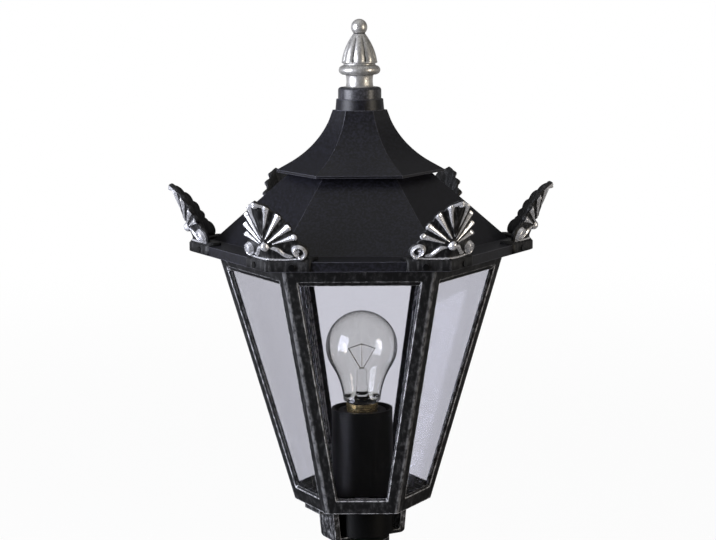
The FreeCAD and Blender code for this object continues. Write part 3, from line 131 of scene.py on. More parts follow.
@dataclass
class Surface:
    """A grid of points in millimetres, with one relief value for each point."""

    points: Array
    relief: Array

    def turned(self, degrees: float) -> "Surface":
        """The same surface turned about the lantern's axis.

        Args:
            degrees: angle of the turn, anticlockwise from above.

        Returns:
            The turned surface.
        """
        c, s = math.cos(math.radians(degrees)), math.sin(math.radians(degrees))
        turn = np.array([[c, -s, 0.0], [s, c, 0.0], [0.0, 0.0, 1.0]])
        return Surface(self.points @ turn.T, self.relief)


def add_object(name: str, data: bpy.types.ID) -> bpy.types.Object:
    """Puts an object into the scene.

    Args:
        name: the object's name.
        data: its mesh, camera or light.

    Returns:
        The new object, at the origin.
    """
    added = bpy.data.objects.new(name, data)
    bpy.context.scene.collection.objects.link(added)
    return added


def make_piece(name: str, surfaces: list[Surface], body: str) -> bpy.types.Object:
    """One mesh object from closed grids, with seams and poles merged and faces turned outwards.

    Args:
        name: the object's name.
        surfaces: grids of points, each closed by itself.
        body: the CAD body that the piece rides on.

    Returns:
        The new object, at the origin, with its relief attribute.
    """
    points, relief, quads, start = [], [], [], 0
    for surface in surfaces:
        rows, columns = surface.points.shape[:2]
        quads.append(grid_quads(rows, columns) + start)
        points.append(surface.points.reshape(-1, 3))
        relief.append(surface.relief.reshape(-1))
        start += rows * columns
    corners = np.concatenate(quads)
    mesh = bpy.data.meshes.new(name)
    mesh.vertices.add(start)
    mesh.vertices.foreach_set("co", (np.concatenate(points) * MM).astype(np.float32).ravel())
    mesh.loops.add(corners.size)
    mesh.loops.foreach_set("vertex_index", corners.astype(np.int32).ravel())
    mesh.polygons.add(len(corners))
    mesh.polygons.foreach_set("loop_start", np.arange(0, corners.size, 4, dtype=np.int32))
    mask = mesh.attributes.new(RELIEF, "FLOAT", "POINT")
    mask.data.foreach_set("value", np.concatenate(relief).astype(np.float32))
    mesh.update(calc_edges=True)
    shell = bmesh.new()
    shell.from_mesh(mesh)
    bmesh.ops.remove_doubles(shell, verts=shell.verts, dist=MERGE_MM * MM)
    bmesh.ops.dissolve_degenerate(shell, edges=shell.edges, dist=SLIVER_MM * MM)
    bmesh.ops.recalc_face_normals(shell, faces=shell.faces)
    shell.to_mesh(mesh)
    shell.free()
    mesh.shade_smooth()
    piece = add_object(name, mesh)
    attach(piece, body)
    return piece


def arc_points(centre: Pair, radius: Pair, start: float, end: float, count: int) -> Array:
    """Points on an ellipse from one angle to another: centre + radius * (cos, sin).

    Args:
        centre: radius and height of the ellipse's centre.
        radius: half widths along radius and height.
        start: first angle in degrees.
        end: last angle in degrees.
        count: number of points.

    Returns:
        An array of (radius, height) points.
    """
    angle = np.radians(np.linspace(start, end, count))
    return np.stack([centre[0] + radius[0] * np.cos(angle), centre[1] + radius[1] * np.sin(angle)], axis=1)


# ---------------- finishes
def linear(colour: str) -> tuple[float, float, float, float]:
    """Linear RGBA from an sRGB hex colour, by the standard sRGB curve.

    Args:
        colour: a colour such as "#a0a0a4".

    Returns:
        Red, green, blue and an alpha of 1.
    """
    parts = [int(colour[i:i + 2], 16) / 255.0 for i in (1, 3, 5)]
    red, green, blue = (p / 12.92 if p <= 0.04045 else ((p + 0.055) / 1.055) ** 2.4 for p in parts)
    return (red, green, blue, 1.0)


@dataclass(frozen=True)
class Nodes:
    """A shader node tree, with the building blocks that the finishes and the studio share."""

    tree: bpy.types.NodeTree

    def add(self, kind: str, inputs: Inputs | None = None, **settings: object) -> bpy.types.Node:
        """Adds one node.

        Args:
            kind: Blender's name of the node type after "ShaderNode".
            inputs: socket name or number to a plain value, or to an output socket to link from.
            settings: the node's own properties.

        Returns:
            The new node.
        """
        node = self.tree.nodes.new("ShaderNode" + kind)
        for name, value in settings.items():
            setattr(node, name, value)
        for key, value in (inputs or {}).items():
            if isinstance(value, Socket):
                self.tree.links.new(value, node.inputs[key])
            else:
                node.inputs[key].default_value = value
        return node

    def place(self) -> Socket:
        """The point's Object coordinates.

        Returns:
            The coordinates.
        """
        return self.add("TexCoord").outputs["Object"]

    def noise(self, size_mm: Triple, detail: float = 3.0, roughness: float = 0.5) -> Socket:
        """Noise on Object coordinates whose grains have a real size along X, Y and Z.

        Args:
            size_mm: length of one grain along each axis.
            detail: octaves of finer noise.
            roughness: how strong the finer octaves are.

        Returns:
            The noise's value.
        """
        scale = [1.0 / (size * MM) for size in size_mm]
        scaled = self.add("Mapping", {"Vector": self.place(), "Scale": scale}).outputs[0]
        return self.add("TexNoise", {"Vector": scaled, "Scale": 1.0, "Detail": detail,
                                     "Roughness": roughness}).outputs["Fac"]

    def blend(self, value: Socket, low: float, high: float, out_low: float = 0.0,
              out_high: float = 1.0) -> Socket:
        """Value mapped smoothly from one range to another.

        Args:
            value: the socket to map.
            low: value that gives out_low.
            high: value that gives out_high.
            out_low: lower result.
            out_high: upper result.

        Returns:
            The result.
        """
        limits = {"Value": value, "From Min": low, "From Max": high, "To Min": out_low, "To Max": out_high}
        return self.add("MapRange", limits, interpolation_type="SMOOTHSTEP").outputs["Result"]

    def maths(self, operation: str, *values: Value, clamp: bool = True) -> Socket:
        """One operation on numbers.

        Args:
            operation: Blender's name of the operation.
            values: what goes into its inputs, in their order.
            clamp: True to keep the result between 0 and 1.

        Returns:
            The result.
        """
        return self.add("Math", dict(enumerate(values)), operation=operation, use_clamp=clamp).outputs[0]

    def length(self, vector: Socket) -> Socket:
        """Length of a vector.

        Args:
            vector: the vector.

        Returns:
            Its length.
        """
        return self.add("VectorMath", {0: vector}, operation="LENGTH").outputs["Value"]

    def mix(self, share: Socket, first: Value, second: Value) -> Socket:
        """Blends two colours.

        Args:
            share: how much of the second colour shows.
            first: the colour at a share of 0.
            second: the colour at a share of 1.

        Returns:
            The mixed colour.
        """
        return self.add("Mix", {"Factor": share, 6: first, 7: second}, data_type="RGBA").outputs[2]

    def bump(self, height: Socket, strength: float, depth_mm: float, normal: Socket | None = None) -> Socket:
        """Fine roughness that shows only in the shading.

        Args:
            height: the pattern that stands up.
            strength: how strongly it tilts the surface.
            depth_mm: how high it stands.
            normal: the normal to start from, where the edges are rounded.

        Returns:
            The tilted normal.
        """
        inputs = {"Height": height, "Strength": strength, "Distance": depth_mm * MM}
        if normal is not None:
            inputs["Normal"] = normal
        return self.add("Bump", inputs).outputs[0]

    def rounded_edges(self, edge_mm: float) -> tuple[Socket, Socket]:
        """Rounds the edges in the shading, and finds them.

        Args:
            edge_mm: radius of the rounding.

        Returns:
            The rounded normal, and how far it bends away from the true one: 0 on a flat.
        """
        normal = self.add("Bevel", {"Radius": edge_mm * MM}, samples=BEVEL_SAMPLES).outputs[0]
        true_normal = self.add("NewGeometry").outputs["Normal"]
        across = self.add("VectorMath", {0: normal, 1: true_normal}, operation="DOT_PRODUCT")
        return normal, self.maths("SUBTRACT", 1.0, across.outputs["Value"])

    def ray_masks(self) -> tuple[Socket, Socket]:
        """Masks for rays that see the surroundings: straight or through glass, and after a mirroring.

        A ray that was scattered by a matt surface is in neither, even where it then passes a pane.

        Returns:
            The mask of direct rays and the mask of mirrored rays.
        """
        path = self.add("LightPath").outputs
        matt = self.maths("SUBTRACT", 1.0, path["Diffuse Depth"])
        mirrored = self.maths("MULTIPLY", matt, self.maths("MINIMUM", path["Glossy Depth"], 1.0))
        unmirrored = self.maths("SUBTRACT", matt, mirrored)
        through = self.maths("MULTIPLY", path["Is Transmission Ray"], unmirrored)
        return self.maths("MAXIMUM", path["Is Camera Ray"], through), mirrored


def new_material(name: str) -> tuple[bpy.types.Material, Nodes]:
    """An empty material.

    Args:
        name: the material's name.

    Returns:
        The material and its nodes.
    """
    material = bpy.data.materials.new(name)
    material.use_nodes = True
    material.node_tree.nodes.clear()
    return material, Nodes(material.node_tree)


class Proud(Enum):
    """Where a finish finds what stands proud."""

    RELIEF = "the piece's own relief attribute"
    EDGES = "the casting's outer edges"


@dataclass(frozen=True)
class Finish(ABC):
    """What one surface is made of: a material with a single Principled shader."""

    name: str

    @abstractmethod
    def skin(self, nodes: Nodes) -> Inputs:
        """Draws the finish's patterns.

        Args:
            nodes: the material's nodes.

        Returns:
            What goes into the Principled shader.
        """

    def material(self) -> bpy.types.Material:
        """Builds the finish.

        Returns:
            The material.
        """
        material, nodes = new_material(self.name)
        skin = nodes.add("BsdfPrincipled", self.skin(nodes))
        nodes.add("OutputMaterial", {0: skin.outputs[0]})
        return material


@dataclass(frozen=True)
class DryBrushedCast(Finish):
    """Sand-cast aluminium, black powder coat, silver paint dry-brushed over whatever stands proud.

    To the eye: near black in the recesses, broken silver on ridges and edges, thin streaks on the flats.
    """

    proud: Proud
    black: str = "#0d0d0f"
    silver: str = "#e2e2e6"
    cover: float = 1.0  # how far the silver reaches down from the ridges
    flats: float = 0.25  # silver streaks on flat places
    edge_mm: float = 0.9
    corner_mm: float = 0.0  # half width of the silver along the hexagon's rounded corners
    streak_mm: Triple = (2.2, 2.2, 14.0)
    cast_mm: float = 0.9  # grain of the sand casting
    gloss: float = 0.34
    metal: float = 0.7  # how metallic the silver paint looks
    breaks: float = 0.7  # silver left on relief where the brush skipped

    def corners(self, nodes: Nodes) -> Socket:
        """Mask along the six corner bars, from the distance to the nearest corner: radius * |angle off it|.

        Args:
            nodes: the material's nodes.

        Returns:
            The mask.
        """
        place = nodes.place()
        x, y, _ = nodes.add("SeparateXYZ", {0: place}).outputs
        turn = nodes.maths("ARCTAN2", y, x, clamp=False)
        half_side = math.radians(SIDE_TURN) / 2
        wrapped = nodes.maths("WRAP", turn, half_side, -half_side, clamp=False)
        off = nodes.maths("ABSOLUTE", wrapped, clamp=False)
        level = nodes.add("VectorMath", {0: place, 1: (1.0, 1.0, 0.0)}, operation="MULTIPLY")
        distance = nodes.maths("MULTIPLY", off, nodes.length(level.outputs[0]), clamp=False)
        core = 0.4  # share of the width that is evenly covered
        return nodes.blend(distance, core * self.corner_mm * MM, self.corner_mm * MM, 1.0, 0.0)

    def relief_mask(self, nodes: Nodes, streaks: Socket) -> Socket:
        """Silver on whatever the piece's relief attribute says stands proud.

        Args:
            nodes: the material's nodes.
            streaks: noise of the brush's streaks.

        Returns:
            The mask.
        """
        height = nodes.add("Attribute", attribute_name=RELIEF).outputs["Fac"]
        starts, covers, cover_reach, streak_lift = 0.62, 0.95, 0.4, 0.35
        raised = nodes.maths("ADD", height, nodes.maths("MULTIPLY", streaks, streak_lift))
        reach = cover_reach * self.cover
        silver = nodes.blend(raised, starts - reach, covers - reach)
        return nodes.maths("MULTIPLY", silver, nodes.blend(streaks, 0.38, 0.55, self.breaks, 1.0))

    def edge_mask(self, nodes: Nodes, streaks: Socket, bend: Socket) -> Socket:
        """Silver on the casting's edges and, where corner_mm is set, along the hexagon's corners.

        Args:
            nodes: the material's nodes.
            streaks: noise of the brush's streaks.
            bend: how far the rounded normal bends.

        Returns:
            The mask.
        """
        breaks, corner_share = 0.15, 0.16  # silver left where the brush skipped, and along the corners
        worn = nodes.maths("MULTIPLY", nodes.blend(bend, 0.005, 0.07), self.cover)
        if self.corner_mm:
            corners = nodes.maths("MULTIPLY", self.corners(nodes), corner_share * self.cover)
            worn = nodes.maths("MAXIMUM", worn, corners)
        return nodes.maths("MULTIPLY", worn, nodes.blend(streaks, 0.38, 0.6, breaks, 1.0))

    def skin(self, nodes: Nodes) -> Inputs:
        """Black casting under broken silver.

        Args:
            nodes: the material's nodes.

        Returns:
            What goes into the Principled shader.
        """
        grain = nodes.noise((self.cast_mm,) * 3, detail=4.0, roughness=0.6)
        streaks = nodes.noise(self.streak_mm, detail=5.0, roughness=0.65)
        normal = None
        if self.proud is Proud.RELIEF:
            mask = self.relief_mask(nodes, streaks)
        else:
            normal, bend = nodes.rounded_edges(self.edge_mm)
            mask = self.edge_mask(nodes, streaks, bend)
        pits, black_rough, grain_rough = 0.3, 0.45, 0.12  # silver left in the grain's pits, then roughnesses
        wiped = nodes.maths("MULTIPLY", nodes.blend(streaks, 0.45, 0.75), self.flats)
        kept = nodes.blend(grain, 0.38, 0.62, pits, 1.0)
        silvering = nodes.maths("MAXIMUM", mask, nodes.maths("MULTIPLY", wiped, kept))
        rough = nodes.blend(silvering, 0.0, 1.0, black_rough, self.gloss)
        rough = nodes.maths("ADD", rough, nodes.maths("MULTIPLY", grain, grain_rough))
        return {"Base Color": nodes.mix(silvering, linear(self.black), linear(self.silver)),
                "Metallic": nodes.maths("MULTIPLY", silvering, self.metal), "Roughness": rough,
                "Normal": nodes.bump(grain, strength=0.25, depth_mm=0.15, normal=normal)}


@dataclass(frozen=True)
class PowderCoat(Finish):
    """Powder-coated casting or sheet: satin paint over a faint cast grain, no metal showing."""

    colour: str
    roughness: float = 0.45
    shine: float = 0.3  # specular level, 0.5 for a plain gloss paint
    grain_mm: float = 1.8
    grain_depth_mm: float = 0.14
    edge_mm: float = 0.8
    edge_colour: str = "#4a4a50"  # thin paint on the edges
    mottle: str = "#1c1c20"  # paler flecks of the cast skin under the paint

    def skin(self, nodes: Nodes) -> Inputs:
        """Flecked paint that is thin on the edges.

        Args:
            nodes: the material's nodes.

        Returns:
            What goes into the Principled shader.
        """
        grain = nodes.noise((self.grain_mm,) * 3, detail=4.0, roughness=0.6)
        broad_mm = 38.0  # slow change of the gloss
        broad = nodes.noise((broad_mm,) * 3, detail=2.0)
        normal, bend = nodes.rounded_edges(self.edge_mm)
        worn = nodes.blend(bend, 0.01, 0.1, 0.0, 0.8)
        paint = nodes.mix(nodes.blend(grain, 0.42, 0.62), linear(self.colour), linear(self.mottle))
        smoother, grain_rough, broad_rough = 0.1, 0.14, 0.06
        rough = nodes.maths("ADD", self.roughness - smoother, nodes.maths("MULTIPLY", grain, grain_rough))
        rough = nodes.maths("ADD", rough, nodes.maths("MULTIPLY", broad, broad_rough))
        return {"Base Color": nodes.mix(worn, paint, linear(self.edge_colour)), "Roughness": rough,
                "Specular IOR Level": self.shine,
                "Normal": nodes.bump(grain, strength=0.35, depth_mm=self.grain_depth_mm, normal=normal)}


@dataclass(frozen=True)
class Moulded(Finish):
    """Moulded plastic, ceramic or rubber: one colour whose gloss follows a fine grain."""

    colour: str
    roughness: float
    grain_mm: Triple = (0.5, 0.5, 0.5)
    spread: float = 0.05  # what the grain adds to and takes from the roughness
    strength: float = 0.15
    depth_mm: float = 0.04
    metal: float = 0.0

    def skin(self, nodes: Nodes) -> Inputs:
        """One colour with a grained surface.

        Args:
            nodes: the material's nodes.

        Returns:
            What goes into the Principled shader.
        """
        grain = nodes.noise(self.grain_mm)
        rough = nodes.blend(grain, 0.2, 0.8, self.roughness - self.spread, self.roughness + self.spread)
        return {"Base Color": linear(self.colour), "Metallic": self.metal, "Roughness": rough,
                "Normal": nodes.bump(grain, self.strength, self.depth_mm)}


@dataclass(frozen=True)
class WorkedMetal(Moulded):
    """Bare or plated metal with fine machining marks: zinc-plated steel, brass, tungsten."""

    grain_mm: Triple = (6.0, 6.0, 0.5)
    spread: float = 0.08
    strength: float = 0.12
    depth_mm: float = 0.05
    metal: float = 1.0  # lower where it is tarnished or smeared with cement


@dataclass(frozen=True)
class ClearGlass(Finish):
    """Clear float or blown glass: fully transmitting, with a faint tint and a slow wave in its surface."""

    tint: str
    wave_mm: float = 60.0
    wave_depth_mm: float = 0.02
    ior: float = 1.5  # lower for a thin tube that is one solid here

    def skin(self, nodes: Nodes) -> Inputs:
        """Glass with a wavy surface.

        Args:
            nodes: the material's nodes.

        Returns:
            What goes into the Principled shader.
        """
        wave = nodes.noise((self.wave_mm,) * 3, detail=1.0)
        normal = nodes.bump(wave, strength=0.2, depth_mm=self.wave_depth_mm)
        return {"Base Color": linear(self.tint), "Roughness": 0.0, "IOR": self.ior,
                "Transmission Weight": 1.0, "Normal": normal}


def dress(name: str, material: bpy.types.Material) -> None:
    """Gives a CAD node its material.

    Args:
        name: the node's name in the frame.
        material: what all its faces get.
    """
    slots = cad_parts[name].material_slots
    for slot in slots:
        slot.material = material
    if not slots:
        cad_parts[name].data.materials.append(material)


# ---------------- palmettes
class Bell(NamedTuple):
    """A rounded rib, knob or rim: its height is a bell curve of the distance from its middle."""

    high: float | Array
    wide: float | Array

    def over(self, distance: Array) -> Array:
        """Height at a distance from the middle.

        Args:
            distance: distances in millimetres.

        Returns:
            The heights in millimetres.
        """
        return self.high * bump(distance, self.wide)


def along_line(s: Array, t: Array, start: Pair, end: Pair) -> tuple[Array, Array, float]:
    """Where points lie beside a straight line.

    Args:
        s: first coordinate of the points.
        t: second coordinate of the points.
        start: where the line starts.
        end: where it ends.

    Returns:
        Share of the line's length at the nearest place, distance from that place, and the line's length.
    """
    ds, dt = end[0] - start[0], end[1] - start[1]
    length = math.hypot(ds, dt)
    share = np.clip(((s - start[0]) * ds + (t - start[1]) * dt) / length ** 2, 0.0, 1.0)
    return share, np.hypot(s - start[0] - share * ds, t - start[1] - share * dt), length


@dataclass
class Palmette:
    """Shell-shaped cast ornament bent round a corner of the eave.

    A wing is drawn in its own plane: s along the eave from the ridge, t up the ridge, in millimetres. The two
    wings are one closed sheet in polar coordinates about the boss, s changing sign from wing to wing.
    """

    eave: float  # height of the eave's lower edge
    eave_corner: float = 141.0  # radius of the eave's corners
    corner: float = 138.2  # radius at which the ridge stands
    rise: float = 8.1  # foot of the ridge above the eave's lower edge
    lean: float = 22.1  # degrees
    fold: float = 1.4  # rounding of the fold between the wings
    fold_blend: float = 2.5  # half width over which the two normals are blended
    fold_swell: float = 0.25  # share by which the relief is raised on the fold
    plate: float = 2.6
    boss_at: float = 13.6
    crests: tuple[Pair, ...] = ((0.0, 52.3), (8.6, 48.8), (17.2, 41.3), (23.6, 31.5), (27.0, 22.4),
                                (28.0, 15.6))
    roots: tuple[Pair, ...] = ((0.4, 22.0), (2.0, 20.0), (3.4, 17.2), (7.0, 15.9))
    notches: tuple[float, ...] = (0.5, 2.2, 2.6, 2.6, 2.4)
    scroll_at: Pair = (26.4, 8.6)
    scroll_radius: float = 6.8
    lip: float = 0.35
    lip_curve: float = 0.0028  # k of the lip's parabola, per millimetre
    turns: int = 6
    around: int = 361
    across: int = 74
    inner_crowding: float = 0.8  # below 1 the rings crowd at the edge
    edge_round: float = 1.0  # radius of the sheet's rounded edge
    edge_steps: int = 7
    full_relief: float = 2.4  # height that is fully proud for the brush
    finish: DryBrushedCast = field(default_factory=lambda: DryBrushedCast(
        "palmette, silver brushed over black cast", Proud.RELIEF, black="#08080a", silver="#f8f8fc",
        cover=0.52, flats=0.1, gloss=0.2, breaks=0.75))

    def outline(self, angle: Array) -> Array:
        """Distance from the boss to the edge.

        Between two crests the edge is their straight mean less notch * (1 - |cos(pi x)|). Then follow the far
        side of the scroll's circle, and the lip, a shallow parabola t = lip + k s^2.

        Args:
            angle: angles from the ridge in radians, from 0 to pi.

        Returns:
            The distances in millimetres.
        """
        crest = np.array(self.crests) - [0.0, self.boss_at]
        crest_angle = np.arctan2(crest[:, 0], crest[:, 1])
        reach = np.hypot(crest[:, 0], crest[:, 1])
        index = np.clip(np.searchsorted(crest_angle, angle, side="right") - 1, 0, len(crest) - 2)
        x = np.clip((angle - crest_angle[index]) / (crest_angle[index + 1] - crest_angle[index]), 0.0, 1.0)
        fan = reach[index] + (reach[index + 1] - reach[index]) * x
        fan -= np.array(self.notches)[index] * (1.0 - np.abs(np.cos(np.pi * x)))
        s, t = self.scroll_at[0], self.scroll_at[1] - self.boss_at
        far, heading = math.hypot(s, t), math.atan2(s, t)
        off = angle - heading
        inside = self.scroll_radius ** 2 - (far * np.sin(off)) ** 2
        circle = far * np.cos(off) + np.sqrt(np.maximum(inside, 0.0))
        drop = self.boss_at - self.lip
        cos, sin = np.cos(angle), np.sin(angle)
        lip = 2.0 * drop / (-cos + np.sqrt(cos ** 2 + 4.0 * self.lip_curve * drop * sin ** 2) + TINY)
        edge = np.where(inside > 0.0, circle, np.where(angle < heading, fan, lip))
        beside_fan = np.maximum(circle, fan * (angle < crest_angle[-1]))
        return np.where((angle < heading) & (inside > 0.0), beside_fan, edge)

    def ribs(self, s: Array, t: Array) -> Array:
        """Four ribs that widen and rise from the boss to their crests, each with a knob at its end.

        Args:
            s: distance from the ridge.
            t: distance up the ridge.

        Returns:
            The height in millimetres.
        """
        knob, knob_inset = Bell(3.1, 2.3), 2.4
        high = np.zeros_like(s)
        for root, crest in zip(self.roots, self.crests[1:5]):
            share, off, length = along_line(s, t, root, crest)
            high = np.maximum(high, Bell(1.3 + 1.7 * share, 0.65 + 1.6 * share).over(off))
            end = 1.0 - knob_inset / length
            ds, dt = end * (crest[0] - root[0]), end * (crest[1] - root[1])
            high = np.maximum(high, knob.over(np.hypot(s - root[0] - ds, t - root[1] - dt)))
        return high

    def scroll(self, s: Array, t: Array) -> Array:
        """The scroll's spiral, which rises and closes in as it turns, and its eye.

        Args:
            s: distance from the ridge.
            t: distance up the ridge.

        Returns:
            The height in millimetres.
        """
        start, inset, pitch, eye = math.radians(100.0), 1.5, 0.32, Bell(3.0, 1.3)
        ds, dt = s - (self.scroll_at[0] - 1.1), t - (self.scroll_at[1] + 0.5)
        turn = np.mod(np.arctan2(dt, ds) + start, 2 * np.pi)
        ring = self.scroll_radius - inset - pitch * turn
        spiral = Bell(3.2 + 0.3 * turn, 1.2).over(np.hypot(ds, dt) - ring)
        return np.maximum(spiral, eye.over(np.hypot(ds + 0.6, dt - 0.3)))

    def leaf(self, s: Array, t: Array) -> Array:
        """The bowed leaf between boss and scroll, highest at its middle.

        Args:
            s: distance from the ridge.
            t: distance up the ridge.

        Returns:
            The height in millimetres.
        """
        start, end, bow = (4.2, 12.2), (19.5, 4.8), 1.1
        share, near, length = along_line(s, t, start, end)
        off = ((s - start[0]) * (end[1] - start[1]) - (t - start[1]) * (end[0] - start[0])) / length
        off = off + bow * np.sin(2.0 * np.pi * share)
        past = near * ((share <= 0) | (share >= 1))
        return Bell(2.3, 1.9).over(off) * bump(past, 1.5) * (0.4 + 0.6 * np.sin(np.pi * share))

    def height(self, s: Array, t: Array, to_edge: Array, angle: Array) -> Array:
        """Relief above the plate: the highest of ribs, rims, tip, scroll, leaf and boss.

        Args:
            s: distance from the ridge.
            t: distance up the ridge.
            to_edge: distance to the outline along the ray from the boss.
            angle: angle of that ray.

        Returns:
            The height in millimetres.
        """
        rim, tip, lip_rim = Bell(2.3, 1.4), Bell(3.0, 2.2), Bell(1.6, 1.6)
        rim_inset, tip_inset, lip_inset = 1.8, 3.8, 1.6
        cup, cup_fade, boss = 0.9, 6.0, (3.4, 3.9, 3.6)  # the boss's half widths and height
        centre_fade, lip_from, lip_fade = 0.05, math.radians(108.0), 0.1
        first = math.atan2(self.crests[1][0], self.crests[1][1] - self.boss_at)
        centre = smooth_step((first - angle) / centre_fade)
        high = np.maximum(self.ribs(s, t), rim.over(to_edge - rim_inset) * centre)
        high = np.maximum(high, tip.over(np.hypot(s, t - self.crests[0][1] + tip_inset)))
        high -= cup * centre * smooth_step((to_edge - 3.0) / cup_fade) * smooth_step((t - 20.0) / cup_fade)
        below = smooth_step((angle - lip_from) / lip_fade)
        high = np.maximum(high, lip_rim.over(to_edge - lip_inset) * below)
        high = np.maximum(high, np.maximum(self.scroll(s, t), self.leaf(s, t)))
        ball = 1.0 - (s / boss[0]) ** 2 - ((t - self.boss_at) / boss[1]) ** 2
        return np.maximum(high, boss[2] * np.sqrt(np.maximum(ball, 0.0)))

    def place(self, s: Array, t: Array, out: Array) -> Array:
        """Points of the corner on +X from wing coordinates: foot + |s| along + t ridge + out normal.

        The fold is rounded by |s| -> sqrt(s^2 + r^2) - r, and the two normals are blended across it.

        Args:
            s: distance from the ridge, negative on the second wing.
            t: distance up the ridge.
            out: height above the plate's front.

        Returns:
            The points, in millimetres.
        """
        lean = math.radians(self.lean)
        ridge = np.array([math.sin(lean), 0.0, math.cos(lean)])
        normal = np.array([COS30 * math.cos(lean), 0.5 * math.cos(lean), -COS30 * math.sin(lean)])
        normal /= np.linalg.norm(normal)
        depth = np.sqrt(s ** 2 + self.fold ** 2) - self.fold
        side = np.tanh(s / self.fold_blend)
        swell = 1.0 + self.fold_swell * (1.0 - side ** 2)
        x = self.corner - 0.5 * depth + t * ridge[0] + out * normal[0] * swell
        y = COS30 * s + out * normal[1] * side
        z = self.eave + self.rise + t * ridge[2] + out * normal[2] * swell
        return np.stack([x, y, z], axis=-1)

    def shell(self) -> Surface:
        """Front, rounded edge and back of both wings as one closed grid about the boss.

        Returns:
            The sheet with its relief.
        """
        turn = np.linspace(-np.pi, np.pi, self.around)[:, None]
        angle = np.abs(turn)
        reach = self.outline(angle)
        front = np.linspace(0.0, 1.0, self.across)[None, :] ** self.inner_crowding
        flat = reach - self.edge_round
        share = front * flat / reach
        s = share * reach * np.sin(angle)
        t = self.boss_at + share * reach * np.cos(angle)
        high = self.height(s, t, reach * (1.0 - share), angle)
        rim, low = high[:, -1:], -self.plate
        quarter = np.linspace(0.0, 1.0, self.edge_steps)[None, 1:] * np.pi / 2
        side_share = (flat + self.edge_round * np.sin(quarter)) / reach
        side_high = rim - (1.0 - np.cos(quarter)) * (rim - low) * 0.5
        back = (self.around, 4)
        back_share = np.broadcast_to([1.0, 0.97, 0.6, 0.0], back)
        back_high = np.broadcast_to([low * 0.6, low, low, low], back)
        share = np.concatenate([share, side_share, back_share], axis=1)
        high = np.concatenate([high, side_high, back_high], axis=1)
        s = share * reach * np.sin(angle)
        t = self.boss_at + share * reach * np.cos(angle)
        points = self.place(np.copysign(s, turn), t, high)
        relief = np.clip(high / self.full_relief, 0.0, 1.0)
        relief[:, self.across:] *= np.linspace(1.0, 0.0, relief.shape[1] - self.across) ** 2
        return Surface(points, relief)

    def skirt(self) -> Surface:
        """Band round the fascia's corner and the foot behind the wings: a profile carried along the eave.

        The path is the eave's corner, |s| <= length. The profile runs from the fascia's foot up its face,
        over the bevel, back over the ledge and down again.

        Returns:
            The band, nearly without relief.
        """
        length, steps, beside_ridge = 34.0, 24, 0.01
        wall, deep, foot = 1.6, 9.0, 3.0
        gap, foot_bevel, top_bevel, relief = 0.02, 0.5, 0.4, 0.05
        low, top = self.eave + 0.5, self.eave + self.rise
        profile = np.array([(gap, low), (wall - foot_bevel, low), (wall, low + foot_bevel),
                            (wall, top - top_bevel), (wall - top_bevel, top), (-1.0, top + foot),
                            (-deep, top + foot), (-deep, top + 0.8), (gap, top - 0.35), (gap, low)])
        wing = np.linspace(beside_ridge, length, steps)
        s = np.concatenate([[-length], -wing[::-1], wing, [length]])
        inset = np.ones((len(s), 1))
        inset[[0, -1]] = 0.0
        middle = profile.mean(axis=0)
        out = middle[0] + (profile[None, :, 0] - middle[0]) * inset
        z = middle[1] + (profile[None, :, 1] - middle[1]) * inset
        x = (self.eave_corner * COS30 + out) / COS30 - 0.5 * np.abs(s)[:, None]
        y = np.broadcast_to(COS30 * s[:, None], x.shape)
        return Surface(np.stack([x, y, z], axis=-1), np.full(x.shape, relief))

    def build(self) -> None:
        """Makes the six palmettes and hides the plainer ones of the frame."""
        shell, skirt = self.shell(), self.skirt()
        material = self.finish.material()
        for index in range(self.turns):
            turned = [surface.turned(SIDE_TURN * index) for surface in (shell, skirt)]
            piece = make_piece(f"palmette_relief_{index + 1}", turned, "roof")
            piece.data.materials.append(material)
            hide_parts(f"palmette_{index + 1}")
        LOG.info("palmettes: %d pieces, %d faces each", self.turns, len(piece.data.polygons))


